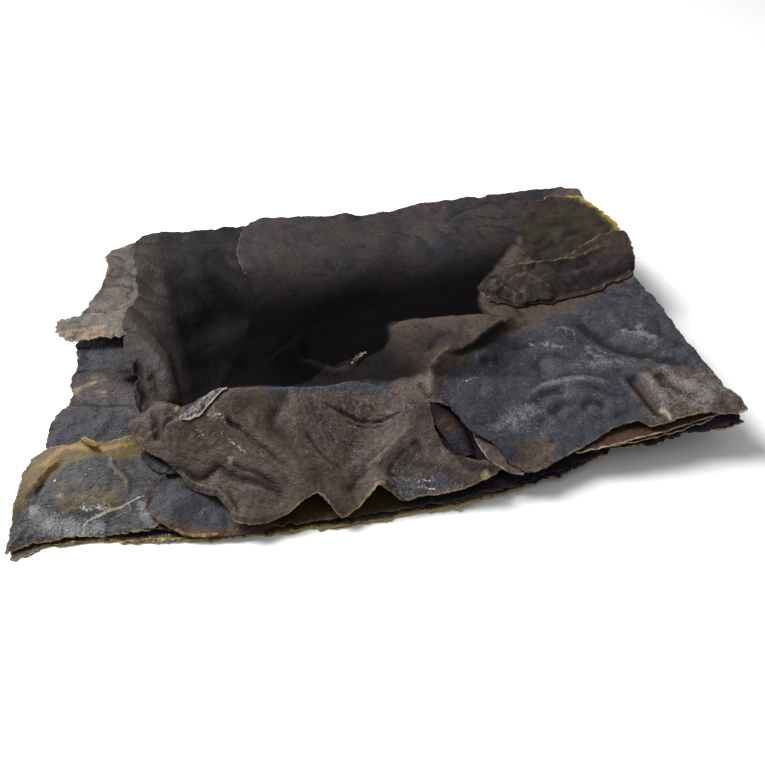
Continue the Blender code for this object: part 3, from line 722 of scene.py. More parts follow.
def shape_small_blade(sheet):
    x, y, z = sheet.at.T
    z += 0.0003 * creased(x, y, 0.006, 27.0)
    sheet.press(0.0022, 0.006)
    marks = grain_along(sheet, 0.4, 28.0)
    low = rise(-y, 0.052, 0.057)
    marks["slate"] = rise(sheet.hem, 0.0003 + 0.0012 * low, 0.0009 + 0.0025 * low)
    marks["bloom"] = 0.15
    rim = mm((-55, -56), (-52.1, -57.8), (-48.8, -59.2), (-45.5, -60), (-41, -60))
    marks["tan_and_glint"] = 0.62 * sheet.near(rim, 0.0008) * (1 + 1.4 * rough(x, y, 0.002, 66.0))
    salty_rim = mm((-48, -59.7), (-44, -60.6), (-40, -60.6))
    marks["crust"] = 0.35 * sheet.near(salty_rim, 0.0005)
    return marks


lay_leaf("small_blade", "rounded_blade", shape_small_blade,
         dry_leaf("dark_slate_leaf", brown=(0.06, 0.036, 0.027), slate=(0.028, 0.028, 0.036),
                  hem=(0.05, 0.016, 0.013), tan_and_glint=(0.3, 0.18, 0.07), gold=0.9),
         cuts=8, tatter=0.5, seed=81.0)


# ---------------------------------------------------------------- the big crumpled leaf
# The top leaf is one wide blade that shrank as it dried: a puffed lobe at its left, a crest with a
# bowl in front of it, a torn slit, and a blistered right half dusted with salt.

# the puffed lobe, crumpled along its middle and creased behind its corner
crumple = mm((-57, -28.2), (-56.4, -31.2), (-55.8, -34), (-55.2, -37.5))
corner_crease = mm((-54, -35.2), (-52.4, -33.8), (-51, -32.6), (-50, -31.6))
lobe_foot = mm((-54, -38.5), (-52.7, -34.4), (-47.6, -33.1))

# folds that fan out from the crest over the left panel
long_fold = mm((-56, -40.5), (-51.2, -43.2), (-45.6, -46.2), (-41.5, -45.2), (-36.4, -48.9), (-30.2, -52),
               (-24.4, -57.2))
short_fold = mm((-40, -44), (-36.2, -46.8), (-31.8, -49.3), (-27, -53))
small_crease = mm((-38.6, -36.2), (-36.9, -37.5), (-35, -39.2))
panel_side = mm((-40, -33.8), (-37.6, -36.8), (-35.2, -39.3), (-30.6, -43.7), (-26.3, -48), (-22.4, -51.1))
broad_fold = mm((-33.5, -34), (-32.3, -37.1), (-30.8, -40.8), (-26.5, -45.5), (-20.2, -51.9),
                (-18.8, -56.5))
upper_fold = mm((-47, -34.5), (-44, -40), (-40.5, -45))

# the shaded fold that comes down from the crest, and the wrinkles of the bowl
shaded_fold = mm((-21.9, -28.5), (-25.2, -33.4), (-27.5, -37.1), (-26.2, -40.2), (-22.5, -44))
soft_fold = mm((-17.5, -30), (-20.5, -35), (-21.5, -39), (-19, -43))
left_wrinkle = mm((-20, -39.5), (-19, -41.6), (-17, -45.5), (-13.9, -48.8), (-10.5, -50.3))
deep_wrinkle = mm((-15, -33), (-12.5, -34.1), (-7.9, -36.5), (-3.6, -38), (1.5, -37.9), (5, -37.2))
second_wrinkle = mm((-10, -37.2), (-7, -38.6), (-2, -39.6), (2, -39.2))
crumpled = mm((-13.5, -33.8), (-6, -36.6), (0, -38.2), (5, -37.2), (13, -35))

# the ridge from the second arch to the knot, with a hollow on either side of it
arch_ridge = mm((-7.5, -52), (-5.6, -50.2), (-1.6, -48), (3.3, -44.6), (7.5, -41.5))
left_hollow = mm((-13, -56), (-8.4, -52.3), (-5.5, -49), (0, -45.5))
pocket = mm((-2.2, -55.9), (-0.4, -52), (2.6, -50), (6, -48.5), (9.5, -46.8))
ridge_foot = mm((-1.8, -54.5), (-0.2, -51.2), (3.4, -48), (8.5, -45.5))
arch_rim = mm((-8.9, -58.7), (-7, -58), (-5.6, -57.2), (-4, -56.4), (-2.2, -56.8))


def facets(sheet):
    """Sharp little facets, for between the wrinkles of the bowl."""
    return creased(0.6 * sheet.at[:, 0], 1.8 * sheet.at[:, 1], 0.0015, 69.0)


def fold_left_half(sheet, lobe):
    x, y, z = sheet.at.T
    z += 0.0003 * lobe * creased(x, y, 0.0026, 46.0)
    sheet.lip(lobe_foot, -0.001, 0.0004, 0.002)
    sheet.lip(long_fold, 0.001, 0.0004, 0.0022)
    sheet.lip(short_fold, 0.0005, 0.0003, 0.0014)
    sheet.lip(upper_fold, 0.0004, 0.0005, 0.002)
    sheet.ridges(
        (crumple, 0.0009, -0.0009), (corner_crease, 0.0005, -0.0004), (long_fold, 0.0011, -0.0007),
        (short_fold, 0.0006, -0.0006), (small_crease, 0.0004, -0.0005), (panel_side, 0.0007, -0.0003),
        (broad_fold, 0.0016, 0.0007), (shaded_fold, 0.0018, -0.0007), (soft_fold, 0.0018, 0.0003),
        (left_wrinkle, 0.0007, -0.0003), (deep_wrinkle, 0.0006, -0.0005), (second_wrinkle, 0.0004, -0.0003),
        (arch_ridge, 0.0014, 0.0009), (left_hollow, 0.0012, -0.0007), (pocket, 0.0022, -0.0006),
        (ridge_foot, 0.0006, -0.00018))
    z += 0.00018 * sheet.near(crumpled, 0.0022) * facets(sheet)


# the flap right of the hollow: sharp along its rear, and overhanging the shade line in front
flap_edge = mm((38.5, -10.5), (36.2, -10), (29.6, -7.9), (21.6, -5.6), (15, -3.5), (10.9, -2.6), (6, -6))
overhang = mm((19, -21.2), (22.2, -20.7), (26.6, -19.6), (33.1, -15.7), (38.8, -11.1), (40, -9.8))
knot_ridge = mm((24, -19.3), (20.5, -19.9), (16.7, -22.4), (14.3, -25.8), (13.9, -30.2), (14.2, -34.5))
knot_side = mm((10.4, -29), (11.8, -32), (12.5, -35.2))
flap_trough = mm((25, -13), (20, -14), (15, -19))

# the crest is pinched sharp along its left half, and falls steeply behind into folds
crest = mm((5, -30), (0.9, -26.7), (-6.5, -24.5), (-12.2, -27.5), (-19.8, -27.9), (-30, -28), (-38.5, -29),
           (-44, -30.5))
low_ridge = mm((-19, -10.5), (-15.9, -12.2), (-12.2, -15.3), (-8.4, -17.5), (-4, -17.8))
rear_fold = mm((-29, -13), (-22.1, -6.2), (-17.3, 1.3))
inner_fold = mm((-16.9, -12), (-16.9, -6), (-17.3, 1.3))


def fold_crest_and_flap(sheet):
    sheet.lip(flap_edge, 0.0024, 0.0006, 0.0045)
    sheet.lip(overhang, 0.0012, 0.0005, 0.0026, over=0.0005)
    sheet.lip(overhang[2:], 0.0016, 0.0005, 0.0032, over=0.0008)
    sheet.lip(crest, 0.0018, 0.0006, 0.003)
    sheet.lip(rear_fold, -0.0014, 0.0005, 0.004)
    sheet.lip(inner_fold, 0.001, 0.0005, 0.003)
    sheet.ridges((knot_ridge, 0.0018, 0.001), (knot_side, 0.0009, -0.0005), (flap_trough, 0.001, -0.0005),
                 (low_ridge, 0.0011, 0.0008))


# creases, ripples and blisters of the right half
wide_crease = mm((58.5, -9.5), (64, -17.5), (69.5, -24.5), (76.7, -30.5), (85, -35))
small_ripple = mm((70, -16.5), (73, -20), (77, -22.5), (81.2, -23.5))
corner_groove = mm((66.2, -33.5), (67, -40), (68, -46.5), (68.4, -51.2))
corner_ridge = mm((69.2, -34.5), (70.4, -42), (71.4, -49))
corner_side = mm((63.6, -34), (64.4, -40), (65.2, -45))
corner_dimple = mm((72.8, -35), (74, -39.5), (76.5, -44), (80, -47.5))
arc = mm((38, -36.5), (43, -33.8), (49.8, -33.8), (56.1, -35.7), (60.5, -38.5))
flap_ripple = mm((27, -23.5), (30.4, -21.3), (33.5, -22.2))
lenses = (mm((38.5, -37.8), (43.1, -35.7), (48.5, -36.4)),
          mm((41.5, -43), (46.2, -40.4), (50, -42)),
          mm((49, -42.5), (53.1, -41.7), (57, -44)))


def blister_right_half(sheet):
    sheet.ridges((wide_crease, 0.0026, -0.0013), (small_ripple, 0.0014, 0.0006),
                 (corner_groove, 0.0019, -0.0018), (corner_ridge, 0.0014, 0.0011),
                 (corner_side, 0.001, 0.0005), (corner_dimple, 0.002, -0.0009),
                 (arc, 0.0016, 0.0008), (flap_ripple, 0.0012, 0.0008))
    for lens in lenses:
        sheet.ridges((lens, 0.0014, -0.0007))
    sheet.at[:, 2] += sheet.spots(
        (-0.0004, 0.0385, -0.0443, 0.0022), (0.0004, 0.0517, -0.0174, 0.003),
        (0.0003, 0.06, -0.0235, 0.0022), (0.0007, 0.03, -0.033, 0.005), (-0.0005, 0.044, -0.026, 0.004),
        (0.0007, 0.075, -0.021, 0.0035), (0.0005, 0.07, -0.014, 0.0028), (0.0005, 0.078, -0.044, 0.004),
        (0.0005, 0.06, -0.031, 0.003))


def turn_hem(sheet, left):
    """The hem ripples, turns down at the front, and ends in a rounded lip under the left panel."""
    x, y, z = sheet.at.T
    z += 0.0009 * rough(x, y, 0.0055, 32.0) * sheet.at_hem(0.0026)
    sheet.press(0.0012, 0.003, left * rise(-y, 0.04, 0.05))
    lip = np.exp(-((sheet.hem - 0.0011) / 0.0007) ** 2)
    z += 0.0006 * rise(-x, 0.03, 0.036) * rise(-y, 0.04, 0.046) * lip
    sheet.ridges((arch_rim, 0.0009, 0.0005))


bowl_wrinkle = mm((-15, -34.5), (-1.6, -35.5), (6, -36.8))


def paint_grain(sheet, marks, left):
    """The grain fans down the left panel, circles round the bowl, and runs askew elsewhere. Gives
    where the bowl is."""
    x, y, _ = sheet.at.T
    marks.update(grain_along(sheet, 0.35, 33.0))
    panel = rise(-x - 0.5 * (y + 0.045), 0.02, 0.026)
    lean = -0.49
    slope = -(x + 0.022) * np.sin(lean) + (y + 0.045) * np.cos(lean) + 0.0012 * rough(x, y, 0.008, 47.0)
    bowl = np.hypot(x - 0.001, 1.1 * (y + 0.033))
    in_bowl = rise(0.03 - bowl, 0, 0.006) * left * (1 - panel)
    swirl = bowl - 0.022 + 0.0007 * rough(x, y, 0.003, 43.0) + 0.0014 * rough(x, y, 0.008, 44.0)
    marks["across"] = marks["across"] * (1 - np.maximum(in_bowl, panel)) + swirl * in_bowl + slope * panel
    ring = rise(bowl, 0.006, 0.012) * rise(-bowl, -0.027, -0.02)
    marks["wrinkled"] = 0.42 * ring * left * rise(-x, 0.002, 0.008) + 0.2 * panel
    marks["wrinkled"] += sheet.lines((0.5, bowl_wrinkle, 0.0022), (0.35, long_fold, 0.0035))
    return in_bowl


# where the leaf turns from brown in front to slate behind
boundary = mm((11.8, -34.5), (21.2, -25.4), (28.6, -20.7), (35.9, -16.2), (49.8, -10.7), (56.6, -7.2),
              (67.3, -4), (76, 1), (90, 7))
corner_line = mm((61.8, -54), (63, -45), (64, -38.5), (66.8, -34.2), (72.5, -32.2), (80, -33.8), (92, -37))
slit_line = mm((11.8, -34.5), (16.5, -44), (21.5, -49), (26.5, -53), (33, -60))
crest_sheen = mm((-34, -29.2), (-23, -29), (-14.8, -28.6), (-4, -28.5), (4.5, -31))
front_panel = mm((-6, -59), (0, -58), (6, -57.2), (12, -57.4), (17, -59))


def paint_slate(sheet, marks, right, outside_corner, beyond_slit):
    x, y, _ = sheet.at.T
    _, behind, _ = sheet.away(boundary)
    wandering = 0.0022 * rough(x, y, 0.007, 72.0) + 0.0008 * rough(x, y, 0.0022, 73.0)
    brown = rise(1.5 * wandering - outside_corner, -0.0014, 0.0032)
    patch = 0.011 - np.hypot(x - 0.035, 0.95 * (y + 0.055))
    brown += 0.9 * rise(patch + 1.3 * wandering, 0, 0.009)
    slate = right * rise(-behind + wandering, -0.003, 0.004) * (1 - 0.85 * np.clip(brown, 0, 1))
    slate *= 1 - rise(-beyond_slit, -0.0004, 0.0004) * rise(-y, 0.034, 0.037)
    # the bluish band along the crest and the spot in the pocket behind it are painted sheen
    slate += sheet.lines((0.68, crest_sheen, 0.0026), (0.58, front_panel, 0.0046))
    marks["slate"] = slate + 0.8 * sheet.spot(0.0006, -0.0262, 0.0036)


# the lines between which it is painted almost black as shade, down behind the crest and up the side of the
# flap
crest_back = mm((-48, -31), (-38.5, -28.8), (-30, -27.8), (-19.8, -27.6), (-12.2, -27.2), (-6.5, -24),
                (0.9, -26.2), (4.5, -27.5), (20, -28))
hollow_right = mm((12, 6), (8.8, 0), (7.6, -5.6), (6.6, -10.6), (3, -14.6), (-6, -15), (-13, -17),
                  (-20, -24))
flap_back = mm((2, -6), (6, -3.6), (10.9, -2.4), (15, -3), (21.6, -5), (29.6, -7.2), (34.5, -8),
               (35, 0), (42, 12), (56, 30))


def shade_hollow(sheet, behind_crest):
    """The painted shade: 1 down in the hollow, fading out up the side of the flap."""
    x, y, _ = sheet.at.T
    _, right_of_hollow, _ = sheet.away(hollow_right)
    _, behind_flap, _ = sheet.away(flap_back)
    up_flap = x + 0.5 * (y + 0.02)
    fading = 0.82 - 0.52 * rise(up_flap, 0.004, 0.021) - 0.3 * rise(up_flap, 0.024, 0.046)
    before_flap = np.maximum(1 - rise(right_of_hollow, -0.0012, 0.0014), fading)
    wavy = 0.0005 * rough(x, y, 0.004, 45.0)
    hollow = rise(behind_crest + wavy, -0.0002, 0.0022) * rise(x, -0.05, -0.046)
    return hollow * np.maximum(before_flap, rise(behind_flap + wavy, -0.0002, 0.0016))


def plain_hem(sheet, behind_crest, slit):
    """Where the hem isn't golden: in the hollow, in the slit and behind the two blades."""
    x, y, _ = sheet.at.T
    plain = NO_GOLD * rise(behind_crest, -0.003, 0.0) * rise(0.03 - y, 0, 0.01) * rise(x, -0.052, -0.046)
    plain += 0.24 * (1 - rise(slit, 0.004, 0.006))
    plain += 6 * rise(0.008 - slit, 0, 0.002) * rise(y, -0.0575, -0.0555)
    plain += NO_GOLD * rise(-x - 0.4 * (y + 0.056), 0.04, 0.042)
    return plain + 0.5 * rise(x, 0.012, 0.02) * rise(y, -0.047, -0.045)


# creases painted darker than the leaf around them, as shade, with the shadow under the flap's overhang
valley = mm((-3, -56), (0.2, -53), (4, -52), (8, -52.2), (12.3, -54.5), (15.8, -58))
slit_channel = mm((14.5, -48), (16, -52), (18.2, -55), (21.2, -56.2), (24.8, -56.8))
slit_side = mm((14, -33.8), (17.2, -38), (18.6, -42))
crest_foot = mm((-9, -26.2), (-3, -24.5), (2.2, -26.8))
knot_right = mm((11, -15), (19, -15.5), (28, -13.5))
hollow_floor = mm((8, -12), (22, -11))


def paint_creases(sheet, lobe):
    painted_shade = 0.25 * lobe + sheet.lines(
        (0.5, crumple, 0.0012), (0.45, corner_crease, 0.0006), (0.6, long_fold, 0.0015),
        (0.4, short_fold, 0.0008), (0.9, small_crease, 0.0005), (0.3, panel_side, 0.001),
        (0.45, shaded_fold, 0.0018), (0.45, left_wrinkle, 0.0006), (0.8, deep_wrinkle, 0.0006),
        (0.7, second_wrinkle, 0.0004), (0.5, pocket, 0.002), (0.4, ridge_foot, 0.0006),
        (0.4, corner_groove, 0.0012), (0.45, corner_dimple, 0.0018), (0.34, wide_crease, 0.003),
        (0.62, valley, 0.0015), (1.1, slit_channel, 0.0011), (0.8, slit_side, 0.0009),
        (0.7, crest_foot, 0.0026), (0.52, knot_right, 0.0045), (0.3, hollow_floor, 0.006))
    painted_shade += sheet.lines(*((0.34, lens, 0.0011) for lens in lenses))
    painted_shade += sheet.spots((0.66, 0.0085, -0.0395, 0.005), (0.3, 0.01, -0.024, 0.006))
    painted_shade += 0.4 * sheet.near(crumpled, 0.002) * rise(facets(sheet), 0.2, -0.3)
    distance, above, along = sheet.away(overhang)
    shadow = np.exp(-(distance / (0.0005 + 0.0024 * along)) ** 2)
    return painted_shade + 1.1 * rise(-above, -0.0003, 0.0002) * shadow * rise(along, 0, 0.2)


# bands and squiggles of fine salt on the right half
misty_band = mm((23.5, -44.5), (30, -43), (36, -40), (40, -37))
misty_line = mm((50, -29), (57.6, -27.8), (64, -29), (69, -33))
bright_ripple = mm((70, -16), (73.5, -19.8), (81, -23))
bright_streak = mm((74.1, -14.6), (75.9, -21.3), (80, -26))
front_dust_and_light = mm((-6, -59), (6, -57.8), (17, -59.5))
worms = (mm((47.4, -14.2), (50, -13.3), (52.9, -14), (56, -14.2), (57.5, -16.5), (56.2, -19.8), (53, -21.4),
            (50, -20), (49, -17.5), (51.2, -16.3)),
         mm((56, -14.2), (54.8, -16), (55.6, -18)),
         mm((58.6, -19.5), (60.6, -20.3), (58.8, -23.2), (60.6, -26.1), (64.1, -24), (65, -26.8)),
         mm((60, -21.5), (62.5, -22.2), (62, -25)),
         mm((45.5, -15), (44, -17), (45.6, -19)),
         mm((52, -15), (54, -17), (53.2, -19.5)),
         mm((47, -16.5), (48.2, -19), (50.5, -21.2)))


def paint_bloom(sheet, slate, right, in_bowl, outside_corner):
    x, y, _ = sheet.at.T
    bloom = 0.1 + right * (0.2 * slate + 0.3 * rough(x, y, 0.007, 34.0)) + 0.4 * in_bowl
    # the salt along the front panel is laid on thick, and also lightens it as painted light where it faces
    # away from the lamp
    bloom += sheet.lines(
        (0.55, arc, 0.0018), (0.55, misty_band, 0.0028), (0.7, misty_line, 0.0024),
        (0.5, bright_ripple, 0.001), (0.8, bright_streak, 0.0022), (0.7, front_dust_and_light, 0.0036))
    bloom -= sheet.lines(*((0.8, lens, 0.0013) for lens in lenses))
    broken = 0.8 + 1.3 * rough(x, y, 0.0012, 48.0)
    bloom += 1.05 * broken * sheet.lines(*((1, worm, 0.0005) for worm in worms))
    bloom += sheet.spots((0.45, 0.037, -0.0445, 0.006), (0.7, 0.079, -0.043, 0.008),
                         (0.8, -0.0415, -0.035, 0.0022))
    return bloom + 0.45 * rise(-outside_corner, 0, 0.004)


# salt dried in thin broken lines, and tan specks beside it
short_salt = mm((-45.7, -36.9), (-43.9, -38.6), (-41.8, -41.2))
wide_salt = mm((-42.5, -35.2), (-40.5, -34.8), (-38.5, -36.7))
long_salt = mm((-40, -38.6), (-36.7, -42.1), (-33.7, -45))
upper_squiggle = mm((4.6, -56.1), (6.3, -55.7), (7.5, -56.1), (8.8, -55.9))
lower_squiggle = mm((4, -57.6), (5.5, -57.1), (6.8, -57.6), (9.6, -58.2))
knot_salt = mm((21.5, -29), (23.9, -28.1), (27.2, -26.8))
corner_salt = mm((69, -46.2), (69.8, -48.8), (69.6, -52))
flap_rim = mm((13, -3.5), (36, -10))


def paint_specks(sheet, marks):
    y = sheet.at[:, 1]
    marks["crust"] = 0.5 * sheet.spot(0.0214, -0.0579, 0.0008) + sheet.lines(
        (0.5, short_salt, 0.0004), (0.45, wide_salt, 0.0007), (0.55, long_salt, 0.0003),
        (0.75, upper_squiggle, 0.00022), (0.85, lower_squiggle, 0.00024), (0.5, knot_salt, 0.0004),
        (0.55, corner_salt, 0.0005))
    tan_and_glint = sheet.lines((0.5, long_salt, 0.0008), (0.9, arch_rim, 0.0008), (1.2, corner_salt, 0.0006),
                      (0.4, flap_rim, 0.0008))
    tan_and_glint += sheet.spots((1.0, -0.0385, -0.0448, 0.0009), (0.9, -0.0503, -0.0312, 0.0011),
                       (1.1, 0.021, -0.0578, 0.0013), (0.8, 0.0372, -0.01, 0.0011))
    marks["tan_and_glint"] = tan_and_glint + 0.5 * sheet.near(knot_ridge, 0.0009) * rise(y, -0.031, -0.027)


def shape_big(sheet):
    x, y, z = sheet.at.T
    left = 1 - rise(x, 0.01, 0.024)
    calm = 0.4 + 0.3 * (1 - left)
    z += 0.00036 * calm * creased(x, y, 0.009, 30.0) + 0.00007 * creased(x, y, 0.0034, 31.0)
    lobe = sheet.spot(-0.055, -0.033, 0.0065)
    fold_left_half(sheet, lobe)
    fold_crest_and_flap(sheet)
    blister_right_half(sheet)
    turn_hem(sheet, left)

    right = rise(x, 0.011, 0.016)
    _, outside_corner, _ = sheet.away(corner_line)
    slit, beyond_slit, _ = sheet.away(slit_line)
    _, behind_crest, _ = sheet.away(crest_back)
    hollow = shade_hollow(sheet, behind_crest)
    marks = {}
    in_bowl = paint_grain(sheet, marks, left)
    paint_slate(sheet, marks, right, outside_corner, beyond_slit)
    marks["slate"] += 0.5 * hollow
    # painted shade: near black down in the hollow, fading towards the back and on the low ridge
    marks["dark"] = hollow * (0.97 - 0.62 * rise(y, 0.01, 0.042) - 0.1 * sheet.near(low_ridge, 0.0012))
    marks["plain_hem"] = plain_hem(sheet, behind_crest, slit)
    marks["painted_shade"] = paint_creases(sheet, lobe)
    marks["bloom"] = paint_bloom(sheet, marks["slate"], right, in_bowl, outside_corner)
    paint_specks(sheet, marks)
    golden = rise(-marks["plain_hem"], -1, 0) * (1 - rise(hollow, 0, 0.2))
    marks["olive"] = 0.8 * sheet.at_hem(0.0009) * left * golden
    return marks


lay_leaf("top_leaf", "big_crumpled_leaf", shape_big,
         dry_leaf("taupe_and_slate_leaf", slate=(0.038, 0.039, 0.05), bloom=0.4),
         cuts=4, tatter=0.75, seed=91.0, fine=lambda x, y: (y < -0.01) & (x < 0.037))
big_leaf = pile[-1]
under_big_leaf = pile[:-1]


# ---------------------------------------------------------------- olive leaf at the back right
# A thin olive leaf under the brown flap. Its right rim is painted bright yellow for the light that comes
# through it, and it is painted darker towards the left as shade.


def shape_olive(sheet):
    x, y, z = sheet.at.T
    z += 0.00045 * creased(x, y, 0.0065, 35.0)
    z += 0.0009 * rough(x, y, 0.005, 36.0) * sheet.at_hem(0.0025)
    marks = grain_along(sheet, 0.9, 37.0)
    marks["olive"] = 0.55 + 0.5 * rough(x, y, 0.007, 38.0)
    # painted shade, darker towards the left
    marks["painted_shade"] = 0.35 + 0.3 * rough(x, y, 0.009, 77.0) + 0.35 * (1 - rise(x, 0.06, 0.074))
    marks["tan_and_glint"] = 0.9 * sheet.at_hem(0.0022) * rise(x, 0.068, 0.08)
    marks["bloom"] = 0.2
    marks["plain_hem"] = NO_GOLD * (1 - rise(x, 0.06, 0.068))
    return marks


lay_leaf("olive_leaf", "olive_leaf_sheet", shape_olive,
         dry_leaf("olive_leaf_finish", brown=(0.02, 0.014, 0.01), olive=(0.027, 0.02, 0.011),
                  tan_and_glint=(0.33, 0.22, 0.03), bloom=0.2), cuts=7, tatter=1.4, seed=101.0, relax=34)


# ---------------------------------------------------------------- brown flap
# The flap folded over the olive leaf: a rolled brown band in front, a crumpled pale upper fold,
# and a raised rear hem.


def shape_flap(sheet):
    x, y, z = sheet.at.T
    z += 0.00022 * creased(x, y, 0.005, 39.0) + 0.0001 * creased(x, y, 0.0025, 40.0)
    front = 1 - rise(y - 0.12 * (x - 0.05), 0.0, 0.006)
    sheet.press(0.0034, 0.005, front)

    # flat facets with sharp creases between them at the left end
    tip_crease = mm((39.5, 1.5), (40.9, -0.3), (43.1, -2.9))
    sheet.lip(tip_crease, -0.0022, 0.0003, 0.0026)
    rear_crease = mm((39, 7.2), (41.7, 5.8), (44.8, 2.2), (47.7, -0.2))
    sheet.lip(rear_crease, -0.0026, 0.0003, 0.0032)
    front_crease = mm((42.5, -2.2), (47, -2.8), (50.4, -2.6), (55, -1.8), (58.9, -0.8))
    sheet.lip(front_crease, 0.0028, 0.0004, 0.003, over=0.0006)
    facet_ridge = mm((48.9, 8.4), (51, 6), (53.4, 3.5), (57.5, -0.4))
    sheet.ridges((facet_ridge, 0.001, 0.0013))

    # lips along the rear and across the smooth right half, painted light as highlight
    low_line = mm((60, -0.8), (63.4, -0.4), (66.9, 0.9), (71.2, 1.6), (75, 2), (81.8, 4.6))
    sheet.lip(low_line, 0.001, 0.0004, 0.0022)
    rear_line = mm((46, 11.2), (50.1, 12), (54.5, 11.7), (60.2, 11.6), (63.6, 12.2), (67.9, 12.4),
                   (73.9, 15.2), (80, 15.6))
    trough = mm((59, 8), (66, 8.5), (73, 11))
    sheet.ridges((rear_line, 0.0007, 0.0008), (trough, 0.0016, -0.0007))

    marks = grain_along(sheet, 0.25, 41.0)
    marks["wrinkled"] = 0.3 * rise(x, 0.05, 0.06)
    broken = 0.9 + 0.8 * rough(x, y, 0.0018, 42.0)
    upper_glint = mm((44.7, 5.5), (47, 7.5), (49.1, 8.9))
    tip_glint = mm((41, 1), (37, 0.2), (34.3, -1.1))
    low_glint = mm((38.8, 6), (44, 1.4), (47, -1))
    lit_front_facet = mm((38, 5), (42, 1), (48, -1.8))
    lit_middle_facet = mm((48, 9), (53, 5), (57, 1))
    # the tan along the lips, the glint lines and the lit facets is painted highlight
    tan_and_glint = 0.9 * sheet.spot(0.0589, -0.001, 0.0006) + sheet.lines(
        (0.55, rear_line, 0.0005), (0.5, low_line, 0.0004), (0.5, upper_glint, 0.0004),
        (0.5, tip_glint, 0.0005), (0.4, front_crease, 0.0004), (0.3, low_glint, 0.0005),
        (0.26, lit_front_facet, 0.002), (0.22, lit_middle_facet, 0.002))
    marks["tan_and_glint"] = tan_and_glint * broken
    # painted shade along the creases and below the lips, and over a facet turned from the light
    facet_shade = mm((45, 8), (49, 4.5), (53, 1))
    lip_shade = mm((43, -3.2), (50.4, -3.4), (58, -1.4))
    rear_shade = mm((57, 9.5), (64, 9.8), (70, 11.2))
    marks["painted_shade"] = sheet.lines(
        (2.0, tip_crease, 0.0006), (2.0, rear_crease, 0.0006), (0.4, facet_shade, 0.0022),
        (1.3, lip_shade, 0.0007), (0.5, rear_shade, 0.001))
    smooth_half = rise(y - 0.08 * (x - 0.06), 0.001, 0.003) * (1 - rise(y, 0.011, 0.0125))
    marks["slate"] = 0.9 * rise(x, 0.054, 0.062) * smooth_half
    marks["olive"] = 0.45 * rise(x, 0.055, 0.075) * rise(y, 0.011, 0.013)
    marks["olive"] += 0.35 * (1 - rise(x, 0.052, 0.06))
    marks["bloom"] = 0.2 + 0.3 * rough(x, y, 0.006, 78.0)
    marks["plain_hem"] = NO_GOLD * rise(x, 0.04, 0.043) * front + 0.2 * (1 - rise(x, 0.044, 0.05))
    return marks


lay_leaf("brown_flap", "folded_flap", shape_flap,
         dry_leaf("dark_brown_leaf", brown=(0.031, 0.022, 0.017), slate=(0.024, 0.016, 0.018),
                  olive=(0.05, 0.038, 0.024), tan_and_glint=(0.2, 0.16, 0.1), bloom=0.25),
         cuts=8, tatter=0.9, seed=111.0, relax=34, fine=lambda x, y: x < 0.06)


# ---------------------------------------------------------------- pleat on the crest
# A small pleat of the big leaf that stands on the left of the crest. Its skin has lifted and
# dried silvery, with a pale curled rim.


def along_line(path, pieces):
    """A smooth line, and how far along it each of its points lies."""
    line = curve(path, pieces)
    steps = np.linalg.norm(np.diff(line[:, :2], axis=0), axis=1)
    return line, np.concatenate([[0], np.cumsum(steps)])


def strip(name, path, width, lift, finish, seed, arch=0.0, cells=(40, 10), bow=1.0, cover=None,
          mark=None, tatter=0.3):
    """A narrow scrap of leaf along a path, widest in its middle when `bow` is 1, and arched
    across its width. It lies on the pile, or at the heights of the path and under a cover."""
    bpy.ops.object.select_all(action="DESELECT")
    bpy.ops.mesh.primitive_grid_add(x_subdivisions=cells[0], y_subdivisions=cells[1], size=1)
    leaf = bpy.context.object
    leaf.name = name
    line, steps = along_line(path, 10)
    grid = np.array([tuple(v.co) for v in leaf.data.vertices])
    along = (grid[:, 0] + 0.5) * steps[-1]
    across = grid[:, 1] * 2
    step = 0.0004  # how far ahead and behind the direction of the path is taken
    taper = 0.92  # the share of its width that a bowed strip loses at its tips
    middle, ahead, behind = (np.column_stack([np.interp(place, steps, values) for values in line.T])
                             for place in (along, along + step, along - step))
    run = (ahead - behind)[:, :2]
    run /= np.linalg.norm(run, axis=1)[:, None]
    share = 1 - bow * (2 * grid[:, 0]) ** 2 * taper
    half = 0.5 * width * share
    place = middle[:, :2] + np.column_stack([-run[:, 1], run[:, 0]]) * (across * half)[:, None]
    has_heights = line.shape[1] > 2
    base = middle[:, 2] if has_heights else np.zeros(len(grid))
    for vertex, (x, y), z in zip(leaf.data.vertices, place, base):
        vertex.co = (x, y, z)
    sheet = Sheet(leaf)
    sheet.tear(tatter, seed)
    if not has_heights:
        sheet.rest_on(pile)
        sheet.relax(4)
    x, y, z = sheet.at.T
    z += lift + arch * share * (1 - across**2)
    z += 0.00012 * creased(x, y, 0.0022, seed + 4)
    if has_heights:
        sheet.rest_on(under_big_leaf)
        sheet.tuck_under(cover)
    whole_run = line[-1] - line[0]
    marks = grain_along(sheet, np.arctan2(whole_run[1], whole_run[0]), seed + 5)
    if mark:
        marks.update(mark(x, y, across))
    sheet.keep(**marks)
    thicken(leaf, SCRAP)
    leaf.data.materials.append(finish)
    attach(leaf, "root")


silver_leaf = dry_leaf("silver_leaf", brown=(0.11, 0.108, 0.1), slate=(0.04, 0.042, 0.042),
                       hem=(0.66, 0.58, 0.45), bloom=0.9, gold=1.0)
pleat_line = mm((-49.5, -34.6), (-45, -32.8), (-41.2, -30.6), (-37.5, -29.2))
strip("crest_pleat", pleat_line, 0.0036, 0.0001, silver_leaf, arch=0.0009, seed=121.0,
      tatter=0.5, mark=lambda x, y, across: {"slate": 0.45 + 0.9 * rough(x, y, 0.0012, 70.0),
                                             "bloom": 0.6 + 0.8 * rough(x, y, 0.0007, 71.0),
                                             "wrinkled": 0.6,
                                             "crust": 0.9 * rise(-across, 0.72, 0.95)})


